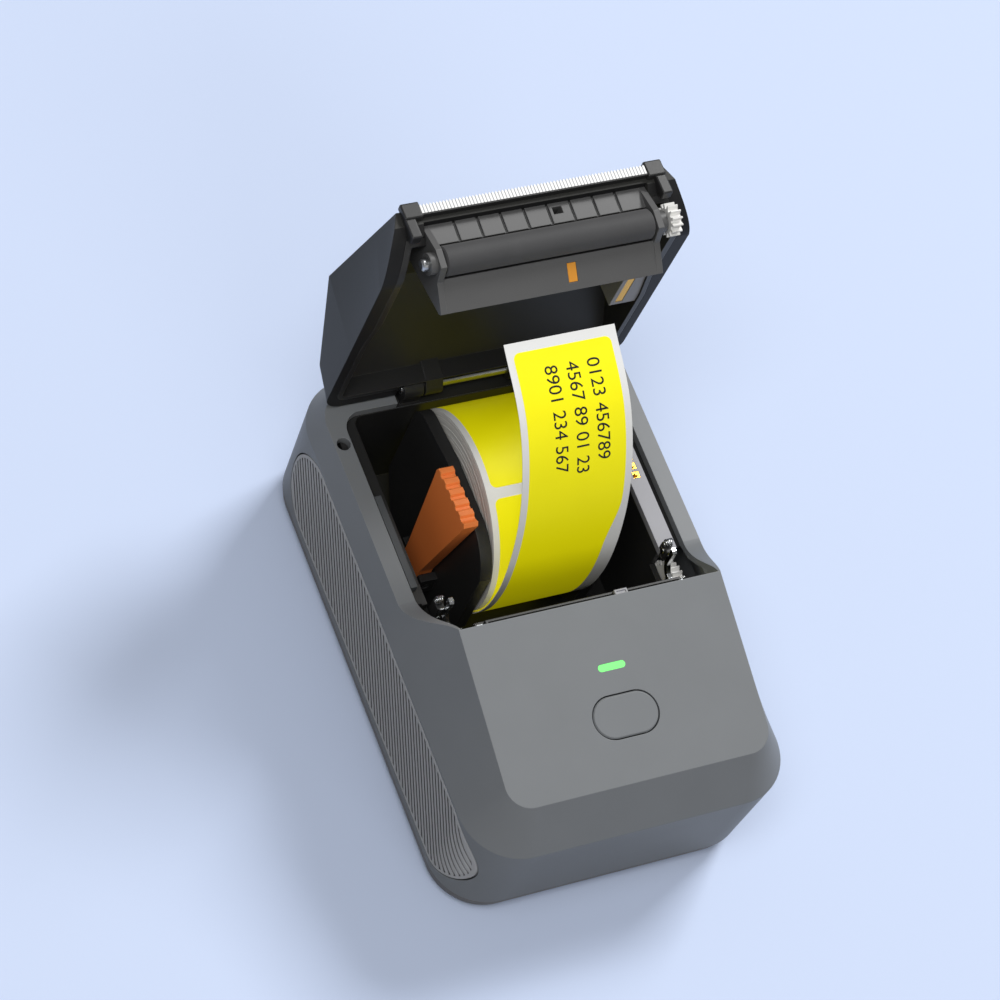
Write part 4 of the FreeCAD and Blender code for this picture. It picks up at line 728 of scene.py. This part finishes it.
def block(low: Sequence[float], high: Sequence[float], chamfer: float) -> Piece:
    """Block between two corners in millimetres, with chamfered edges.

    Args:
        low: Lowest corner.
        high: Highest corner.
        chamfer: Width of the chamfer.

    Returns:
        The block as a new object.
    """
    deselect()
    middle = [(a + b) / 2 * MM for a, b in zip(low, high)]
    bpy.ops.mesh.primitive_cube_add(size=1.0, location=middle)
    piece = bpy.context.object
    piece.scale = [(b - a) * MM for a, b in zip(low, high)]
    bpy.ops.object.transform_apply()
    bevel = piece.modifiers.new("edges", "BEVEL")
    bevel.width = chamfer * MM
    bevel.segments = 2
    bpy.ops.object.modifier_apply(modifier="edges")
    return piece


@dataclass
class Studio:
    """Pale floor, soft light and the camera at the photograph's angle."""

    camera_place: Triple = (-0.35873, -0.33073, 0.78102)
    camera_turn: Triple = (30.576, -15.263, -21.516)
    lens: float = 135.0
    sensor: float = 36.0
    nearest: float = 0.01
    floor_size: float = 12.0
    floor_colour: str = "cfdcf6"
    bounce_colour: str = "66676a"
    sky_strength: float = 0.2
    aim: Triple = (0.0, 0.0, 0.04)
    lamps: tuple[tuple[str, Triple, float, float], ...] = (
        ("key", (2.1, 1.3, 2.6), 84.0, 1.1),
        ("top", (-1.2, -0.7, 3.1), 46.0, 1.6),
        ("fill", (0.2, -3.0, 1.7), 17.0, 2.0))

    def build(self) -> None:
        """Set up the whole studio."""
        self.camera()
        self.floor()
        self.light()
        bpy.context.scene.view_settings.view_transform = "Standard"

    def camera(self) -> None:
        """Add the camera."""
        data = bpy.data.cameras.new("camera")
        data.lens = self.lens
        data.sensor_width = self.sensor
        data.clip_start = self.nearest
        eye = bpy.data.objects.new("camera", data)
        eye.location = self.camera_place
        eye.rotation_euler = tuple(math.radians(angle) for angle in self.camera_turn)
        bpy.context.collection.objects.link(eye)
        bpy.context.scene.camera = eye

    def floor(self) -> None:
        """Add the pale floor."""
        deselect()
        bpy.ops.mesh.primitive_plane_add(size=self.floor_size)
        plane = settle(bpy.context.object, "floor")
        graph = Graph("floor")
        path = graph.add("ShaderNodeLightPath")
        mirrored = graph.math("MAXIMUM", path.outputs["Is Glossy Ray"],
                              path.outputs["Is Transmission Ray"])
        seen = graph.math("MAXIMUM", path.outputs["Is Camera Ray"], mirrored)
        colour = graph.blend(seen, shade(self.bounce_colour), shade(self.floor_colour))
        graph.set(Base_Color=colour, Roughness=0.9, Specular_IOR_Level=0.1)
        plane.data.materials.append(graph.material)

    def light(self) -> None:
        """Add the sky and the large soft lamps."""
        world = bpy.data.worlds.new("studio")
        world.use_nodes = True
        sky = world.node_tree.nodes["Background"]
        sky.inputs["Color"].default_value = (1.0, 1.0, 1.0, 1.0)
        sky.inputs["Strength"].default_value = self.sky_strength
        bpy.context.scene.world = world
        for lamp in self.lamps:
            self.lamp(*lamp)

    def lamp(self, name: str, place: Triple, power: float, size: float) -> None:
        """Add a square lamp aimed at the object.

        Args:
            name: Name of the lamp.
            place: Where it hangs.
            power: Watts.
            size: Side of the square.
        """
        data = bpy.data.lights.new(name, "AREA")
        data.energy = power
        data.size = size
        lamp = bpy.data.objects.new(name, data)
        lamp.location = place
        aim = Vector(self.aim) - Vector(place)
        lamp.rotation_euler = aim.to_track_quat("-Z", "Y").to_euler()
        bpy.context.collection.objects.link(lamp)


@dataclass
class StripLine:
    """Middle line of the free strip, from the roll to the free end, read by length."""

    wrap: tuple[tuple[float, float], ...] = ((226.0, 0.2), (219.0, 0.2), (205.0, 0.45))
    rise: tuple[tuple[float, float], ...] = (
        (-4.5, 28.5), (-6.05, 39.0), (-4.85, 53.0), (1.65, 71.75), (12.9, 85.4), (29.75, 93.75))
    samples: int = 480

    def __post_init__(self) -> None:
        """Work out the points of the line and the length run at each."""
        self.points = [self.at(index / self.samples) for index in range(self.samples + 1)]
        self.run = [0.0]
        for first, second in zip(self.points, self.points[1:]):
            self.run.append(self.run[-1] + (second - first).length)
        self.length = self.run[-1]

    def corners(self) -> list[Vector]:
        """Points that the line passes through."""
        found = []
        for angle, lift in self.wrap:
            reach = WEB.roll_radius + lift * MM
            turn = math.radians(angle)
            y, z = reach * math.cos(turn), reach * math.sin(turn)
            found.append(Vector((0.0, WEB.centre[0] + y, WEB.centre[1] + z)))
        return found + [Vector((0.0, y * MM, z * MM)) for y, z in self.rise]

    def at(self, share: float) -> Vector:
        """Point of the smooth line through the corners.

        Args:
            share: From 0 at the roll to 1 at the free end, the same for each stretch.

        Returns:
            Point with x 0.
        """
        points = self.corners()
        last = len(points) - 2
        index = min(int(share * (last + 1)), last)
        part = share * (last + 1) - index
        start, end = points[index], points[index + 1]
        stretch = (end - start).length
        lead = self.slope(points, index) * stretch
        trail = self.slope(points, index + 1) * stretch
        square, cube = part * part, part ** 3
        return (start * (2 * cube - 3 * square + 1) + lead * (cube - 2 * square + part)
                + end * (3 * square - 2 * cube) + trail * (cube - square))

    @staticmethod
    def slope(points: Sequence[Vector], index: int) -> Vector:
        """Direction of the line at a corner, from its two neighbours."""
        before = points[max(index - 1, 0)]
        after = points[min(index + 1, len(points) - 1)]
        here = points[index]
        first = (here - before).length or 1.0
        second = (after - here).length or 1.0
        ahead = (after - here) / second
        behind = (here - before) / first
        return ((ahead * first + behind * second) / (first + second)).normalized()

    def on(self, left: float, across: float, lift: float) -> Vector:
        """Point on the strip's outer face.

        Args:
            left: Length from the free end.
            across: Distance to the right of the middle.
            lift: Distance out of the middle line.

        Returns:
            The point.
        """
        place = min(max(self.length - left, 0.0), self.length)
        index = min(bisect_right(self.run, place) - 1, self.samples - 1)
        start, end = self.points[index], self.points[index + 1]
        part = (place - self.run[index]) / (self.run[index + 1] - self.run[index])
        ahead = (end - start).normalized()
        out = Vector((0.0, -ahead.z, ahead.y))
        return start.lerp(end, part) + out * lift + Vector((across, 0.0, 0.0))


@dataclass
class Fitting:
    """Piece or group of pieces that the scene adds, dressed from a wardrobe."""

    wardrobe: Wardrobe


@dataclass
class LabelWeb(Fitting):
    """Label roll, the free strip that rises from it and curls back, and the print on the strip."""

    line: StripLine = field(default_factory=StripLine)
    thick: float = 0.16 * MM
    end_margin: float = 2.4 * MM
    gap_angle: float = 111.5
    seam_angle: float = 226.0
    turns: int = 34
    rows: int = 140
    columns: int = 8
    bare_from: float = 42.0 * MM
    bare_over: float = 16.0 * MM
    bare_share: float = 0.2
    shut_height: float = 0.47
    anchor_z: float = 16.3 * MM
    figure_height: float = 3.3 * MM
    figure_start: float = 6.5 * MM
    figure_scale: float = 1.4
    ink: float = 0.03 * MM
    figures: tuple[tuple[str, float], ...] = (
        ("0123 456789", 5.2), ("4567 89 01 23", -0.2), ("8901 234 567", -5.6))
    roll_steps: int = 144
    roll_angle: float = 35.0
    skin: float = 0.04 * MM
    sway: float = 0.05 * MM
    sway_turn: float = 2.4
    draw_in: float = 0.06 * MM

    def build(self) -> None:
        """Build the strip, its print and the roll."""
        strip = self.strip()
        self.wardrobe.dress(strip, Finish.LABEL, Finish.LINER)
        self.give_way(strip)
        hand_over(strip, "printer", "label_stock", "label_strip")
        figures = self.printed()
        self.wardrobe.dress(figures, Finish.INK)
        self.give_way(figures)
        hand_over(figures, "printer", "black_plastic")
        roll = self.roll()
        self.wardrobe.dress(roll, Finish.LABEL, Finish.EDGE)
        hand_over(roll, "roll", "label_stock", "label_roll")

    def give_way(self, piece: Piece) -> None:
        """Give a piece of the strip a mesh of its own."""
        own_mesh(piece)

    def strip(self) -> Piece:
        """Make the free strip as a thin ribbon whose map counts labels from its free end."""
        deselect()
        bpy.ops.mesh.primitive_grid_add(x_subdivisions=self.columns, y_subdivisions=self.rows,
                                        size=2.0, calc_uvs=True)
        piece = settle(bpy.context.object, "free_strip")
        mesh = piece.data
        places = {}
        for vertex in mesh.vertices:
            left = (1 - vertex.co.y) / 2 * self.line.length
            across = vertex.co.x * WEB.half_width
            places[vertex.index] = (across, left)
            vertex.co = self.line.on(left, across, 0.0)
        chart = mesh.uv_layers.active
        start = self.end_margin - Finish.LABEL.value.gap / 2
        for loop in mesh.loops:
            across, left = places[loop.vertex_index]
            share = across / (2 * WEB.half_width) * (1 + self.bare(left) * (across > 0))
            chart.data[loop.index].uv = (0.5 + share, (left - start) / WEB.pitch)
        for _ in ("label", "liner"):
            mesh.materials.append(None)
        wall = piece.modifiers.new("paper", "SOLIDIFY")
        wall.thickness = self.thick
        wall.offset = 0.0
        wall.material_offset = 1
        wall.material_offset_rim = 1
        bpy.ops.object.modifier_apply(modifier="paper")
        bpy.ops.object.shade_smooth_by_angle(angle=SOFT_ANGLE)
        return piece

    def bare(self, left: float) -> float:
        """Share by which the bare liner grows on the right, below a length from the free end."""
        part = min(max((left - self.bare_from) / self.bare_over, 0.0), 1.0)
        return self.bare_share * part * part * (3 - 2 * part)

    def printed(self) -> Piece:
        """Make the lines of figures on the strip, which run down it from the free end."""
        lines = []
        for text, across in self.figures:
            deselect()
            bpy.ops.object.text_add()
            words = bpy.context.object
            words.data.body = text
            words.data.size = self.figure_height * self.figure_scale
            words.data.extrude = self.ink
            bpy.ops.object.convert(target="MESH")
            clean(words)
            for vertex in words.data.vertices:
                along, up, out = vertex.co
                lift = self.thick / 2 + out
                vertex.co = self.line.on(self.figure_start + along, across * MM + up, lift)
            lines.append(words)
        return joined(lines, "strip_figures")

    def roll(self) -> Piece:
        """Make the roll as a spun section with slightly uneven turns at its sides."""
        deselect()
        section = self.section()
        bpy.ops.mesh.primitive_circle_add(vertices=len(section), radius=1.0, calc_uvs=False)
        piece = bpy.context.object
        for vertex, (x, radius) in zip(piece.data.vertices, section):
            vertex.co = (x, WEB.centre[0], WEB.centre[1] + radius)
        bpy.ops.object.mode_set(mode="EDIT")
        bpy.ops.mesh.select_all(action="SELECT")
        bpy.ops.mesh.spin(steps=self.roll_steps, angle=2 * math.pi, center=(0.0, *WEB.centre),
                          axis=(1, 0, 0), dupli=False)
        bpy.ops.mesh.select_all(action="SELECT")
        bpy.ops.mesh.remove_doubles(threshold=1e-6)
        bpy.ops.mesh.normals_make_consistent(inside=False)
        leave_edit()
        piece = settle(piece, "wound_labels")
        self.chart_roll(piece.data)
        bpy.ops.object.shade_smooth_by_angle(angle=math.radians(self.roll_angle))
        return piece

    def chart_roll(self, mesh: bpy.types.Mesh) -> None:
        """Lay out the labels round the roll, with one gap between labels on its top.

        Args:
            mesh: Mesh of the roll.
        """
        for _ in ("label", "edge"):
            mesh.materials.append(None)
        chart = mesh.uv_layers.new(name="labels")
        first = math.radians(self.seam_angle - 360)
        for face in mesh.polygons:
            middle = face.center
            out = math.hypot(middle.y - WEB.centre[0], middle.z - WEB.centre[1])
            face.material_index = 0 if out > WEB.roll_radius - self.skin else 1
            turn = self.angle_after(middle, first)
            for corner in face.loop_indices:
                point = mesh.vertices[mesh.loops[corner].vertex_index].co
                angle = self.angle_after(point, first)
                angle += 2 * math.pi * round((turn - angle) / (2 * math.pi))
                along = (angle - math.radians(self.gap_angle)) * WEB.roll_radius / WEB.pitch
                chart.data[corner].uv = (0.5 + point.x / (2 * WEB.half_width), along)

    @staticmethod
    def angle_after(point: Vector, first: float) -> float:
        """Angle of a point about the roll's axis, counted up from a first angle."""
        angle = math.atan2(point.z - WEB.centre[1], point.y - WEB.centre[0])
        return first + (angle - first) % (2 * math.pi)

    def section(self) -> list[tuple[float, float]]:
        """Corners of half the roll's section as (x, radius), with a small step at each turn."""
        rise = (WEB.roll_radius - WEB.core_radius) / self.turns
        right = []
        for turn in range(self.turns):
            x = WEB.half_width + self.sway * math.sin(turn * self.sway_turn) - self.draw_in
            low = WEB.core_radius + turn * rise
            right += [(x, low), (x, low + rise)]
        return right + [(-x, radius) for x, radius in reversed(right)]


@dataclass
class BaseScrews(Fitting):
    """Small cross-head screws that hold the bottom cover to the bosses of the housing."""

    across: float = 36.6
    along: tuple[float, float] = (-42.0, 34.0)
    face_z: float = 1.0
    head_radius: float = 1.5
    head_height: float = 0.45
    slot_width: float = 0.45
    slot_share: float = 0.62
    slot_depth: float = 0.25
    edge: float = 0.12
    sides: int = 40

    def build(self) -> None:
        """Build the four screws as one piece."""
        first = self.screw()
        spots = [(x, y) for x in (-self.across, self.across) for y in self.along]
        heads = [first] + [self.copy(first) for _ in spots[1:]]
        for head, (x, y) in zip(heads, spots):
            head.location = (x * MM, y * MM, 0.0)
        piece = joined([settle(head, "screw_head") for head in heads], "base_screws")
        self.wardrobe.dress(piece, Finish.STEEL)
        hand_over(piece, "printer", "steel")

    @staticmethod
    def copy(first: Piece) -> Piece:
        """Copy of a screw head with a mesh of its own."""
        focus(first)
        bpy.ops.object.duplicate(linked=False)
        return bpy.context.object

    def screw(self) -> Piece:
        """Make one screw head on the frame's axis, with a cross recess in its underside."""
        deselect()
        bottom = self.face_z - self.head_height
        bpy.ops.mesh.primitive_cylinder_add(
            vertices=self.sides, radius=self.head_radius * MM, depth=self.head_height * MM,
            location=(0.0, 0.0, (bottom + self.head_height / 2) * MM))
        head = bpy.context.object
        bpy.ops.object.transform_apply()
        pick_faces(head, lambda face: face.normal.z < -FACES_ALONG)
        bpy.ops.mesh.bevel(offset=self.edge * MM, segments=2, affect="EDGES")
        leave_edit()
        arm = self.head_radius * self.slot_share
        half = self.slot_width / 2
        for wide, deep in ((arm, half), (half, arm)):
            top = bottom + self.slot_depth
            tool = block((-wide, -deep, bottom - 0.2), (wide, deep, top), 0.02)
            combine(head, tool, "DIFFERENCE")
        return head


@dataclass
class HeadFittings(Fitting):
    """Small fittings on top of the print head: the cover strip and the sensor block."""

    cover: Box = ((-25.5, -19.9, 50.5), (25.5, -17.5, 52.4))
    sensor: Box = ((7.6, -19.4, 52.4), (11.0, -17.6, 53.3))
    chamfer: float = 0.15

    def build(self) -> None:
        """Build the fittings."""
        strip = settle(block(*self.cover, self.chamfer), "head_cover_strip")
        recess(strip, (0.0, 0.0, 1.0), 0.5, 0.35)
        self.wardrobe.dress(strip, Finish.BLACK)
        hand_over(strip, "printer", "black_plastic")
        sensor = settle(block(*self.sensor, self.chamfer), "edge_sensor_block")
        recess(sensor, (0.0, 0.0, 1.0), 0.35, 0.2)
        self.wardrobe.dress(sensor, Finish.LEDGE)
        hand_over(sensor, "printer", "ledge_grey")


@dataclass
class LatchFittings(Fitting):
    """Posts beside the platen clips, each with a chrome striker, a return spring and a screw."""

    right_post: Box = ((28.9, -7.6, 40.2), (31.0, -4.4, 44.6))
    left_post: Box = ((-31.4, -8.4, 38.5), (-29.4, -5.4, 43.4))
    striker_thick: float = 0.4
    spring_radius: float = 0.85
    wire_radius: float = 0.17
    spring_turns: int = 4
    spring_pitch: float = 0.46
    screw_radius: float = 0.9
    screw_height: float = 0.5
    screw_drop: float = 1.6
    chamfer: float = 0.25

    def build(self) -> None:
        """Build the posts and their bright parts."""
        sides = (("right", -1, self.right_post), ("left", 1, self.left_post))
        for name, inward, (low, high) in sides:
            post = settle(block(low, high, self.chamfer), f"{name}_latch_post")
            recess(post, (inward, 0.0, 0.0), 0.3, 0.2)
            self.wardrobe.dress(post, Finish.BLACK)
            hand_over(post, "printer", "black_plastic")
            parts = [make(low, high) for make in (self.striker, self.spring, self.screw)]
            bright = joined(parts, f"{name}_latch_striker")
            bpy.ops.object.shade_smooth_by_angle(angle=SOFT_ANGLE)
            self.wardrobe.dress(bright, Finish.CHROME)
            hand_over(bright, "printer", "clip_chrome")

    def striker(self, low: Sequence[float], high: Sequence[float]) -> Piece:
        """Make the striker plate on the front of a post, which stands a little over its top.

        Args:
            low: Lowest corner of the post.
            high: Highest corner of the post.

        Returns:
            The plate.
        """
        front = low[1] - self.striker_thick
        piece = block((low[0] + 0.3, front, low[2] + 1.0),
                      (high[0] - 0.3, low[1], high[2] + 0.5), 0.08)
        recess(piece, (0.0, -1.0, 0.0), 0.3, 0.12)
        return piece

    def spring(self, low: Sequence[float], high: Sequence[float]) -> Piece:
        """Make the return spring, a coil that lies along X on top of a post.

        Args:
            low: Lowest corner of the post.
            high: Highest corner of the post.

        Returns:
            The spring.
        """
        deselect()
        bpy.ops.mesh.primitive_circle_add(vertices=10, radius=self.wire_radius * MM, calc_uvs=False)
        coil = bpy.context.object
        for vertex in coil.data.vertices:
            x, y, _ = vertex.co
            vertex.co = (x, 0.0, self.spring_radius * MM + y)
        screw = coil.modifiers.new("coil", "SCREW")
        screw.axis = "X"
        screw.angle = 2 * math.pi
        screw.screw_offset = self.spring_pitch * MM
        screw.iterations = self.spring_turns
        screw.steps = 28
        screw.use_normal_calculate = True
        bpy.ops.object.modifier_apply(modifier="coil")
        long = self.spring_turns * self.spring_pitch
        coil.location = ((low[0] + high[0] - long) / 2 * MM, (high[1] - 1.0) * MM,
                         (high[2] + self.spring_radius - 0.1) * MM)
        clean(coil)
        return settle(coil, "coil")

    def screw(self, low: Sequence[float], high: Sequence[float]) -> Piece:
        """Make the screw head in the inner side of a post.

        Args:
            low: Lowest corner of the post.
            high: Highest corner of the post.

        Returns:
            The screw head.
        """
        deselect()
        inner = low[0] if low[0] > 0 else high[0]
        spot = (inner * MM, (low[1] + high[1]) / 2 * MM, (high[2] - self.screw_drop) * MM)
        bpy.ops.mesh.primitive_cylinder_add(
            vertices=28, radius=self.screw_radius * MM, depth=self.screw_height * MM,
            location=spot, rotation=(0.0, math.pi / 2, 0.0))
        head = settle(bpy.context.object, "screw")
        pick_faces(head, lambda face: abs(face.normal.x) > FACES_ALONG)
        bpy.ops.mesh.bevel(offset=0.1 * MM, segments=2, affect="EDGES")
        leave_edit()
        return head


@dataclass
class LidHorns(Fitting):
    """Black end cheeks of the lid's mouth, on both sides of the tear bar."""

    inner: float = 30.4
    outer: float = 33.1
    lip_inner: float = 28.5
    stem: Box = ((51.5, 108.0), (57.6, 110.7))
    lip: Box = ((56.4, 109.2), (60.5, 111.2))
    chamfer: float = 0.35

    def build(self) -> None:
        """Build the two cheeks as one piece."""
        parts = []
        for side in (-1, 1):
            stem, lip = (self.bar(side, inner, corners) for inner, corners in
                         ((self.inner, self.stem), (self.lip_inner, self.lip)))
            combine(stem, lip, "UNION")
            parts.append(stem)
        piece = joined(parts, "lid_mouth_cheeks")
        self.wardrobe.dress(piece, Finish.BLACK)
        hand_over(piece, "lid", "black_plastic")

    def bar(self, side: int, inner: float, corners: Box) -> Piece:
        """Make one bar of a cheek.

        Args:
            side: -1 on the left, 1 on the right.
            inner: Distance of its inner face from the middle.
            corners: Its lowest and highest y and z.

        Returns:
            The bar.
        """
        near, far = sorted((side * inner, side * self.outer))
        return block((near, *corners[0]), (far, *corners[1]), self.chamfer)


@dataclass
class PrinterLooks:
    """Finishes of the nodes that keep their solid shape."""

    dresses: dict[Finish, tuple[str, ...]] = field(default_factory=lambda: {
        Finish.CASE: ("upper_housing", "power_button"),
        Finish.GRIP: ("left_grip", "right_grip"),
        Finish.BASE: ("bottom_cover",),
        Finish.TRIM: ("left_trim",),
        Finish.LID: ("lid_shell",),
        Finish.BLACK: ("lid_liner", "tear_bar_holder", "roll_tray", "left_guide", "right_guide",
                       "head_carrier", "button_switch"),
        Finish.CHASSIS: ("platen_bracket", "left_platen_bush", "right_platen_bush"),
        Finish.LEDGE: ("contact_ledge", "lid_contact_block"),
        Finish.ORANGE: ("guide_lock",),
        Finish.AMBER: ("sensor_window",),
        Finish.BLADE: ("tear_bar",),
        Finish.WHITE: ("platen_gear", "idler_gear", "relay_gear", "motor_pinion", "guide_pinion"),
        Finish.BOARD: ("control_board", "socket_board"),
        Finish.CELL: ("battery_pack",),
        Finish.CERAMIC: ("thermal_head",),
        Finish.CARD: ("roll_core",),
        Finish.PLATEN: ("platen_rubber",),
        Finish.FOOT: ("rubber_feet",),
        Finish.STEEL: ("platen_shaft", "idler_axle", "relay_axle", "motor_shaft", "drive_plate",
                       "hinge_pin", "lever_pin", "charging_socket"),
        Finish.CHROME: ("left_platen_clip", "right_platen_clip"),
        Finish.ALLOY: ("head_heat_sink", "drive_motor"),
        Finish.GILT: ("contact_pins", "lid_contact_pad"),
        Finish.LIGHT: ("light_window",),
    })

    def dress(self, nodes: dict[str, Piece], wardrobe: Wardrobe) -> None:
        """Dress every node.

        Args:
            nodes: The frame's nodes by name.
            wardrobe: Where the materials come from.
        """
        for finish, names in self.dresses.items():
            for name in names:
                wardrobe.dress(nodes[name], finish)
                LOG.info("%s dressed in %s", name, finish.name.lower())


def main() -> None:
    """Build the studio, the finishes and the new pieces in order."""
    logging.basicConfig(level=logging.INFO, format="%(message)s")
    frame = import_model()
    deselect()
    wardrobe = Wardrobe()
    Studio().build()
    PrinterLooks().dress(frame["nodes"], wardrobe)
    for fitting in (LabelWeb, BaseScrews, HeadFittings, LatchFittings, LidHorns):
        fitting(wardrobe).build()


if __name__ == "__main__":
    main()
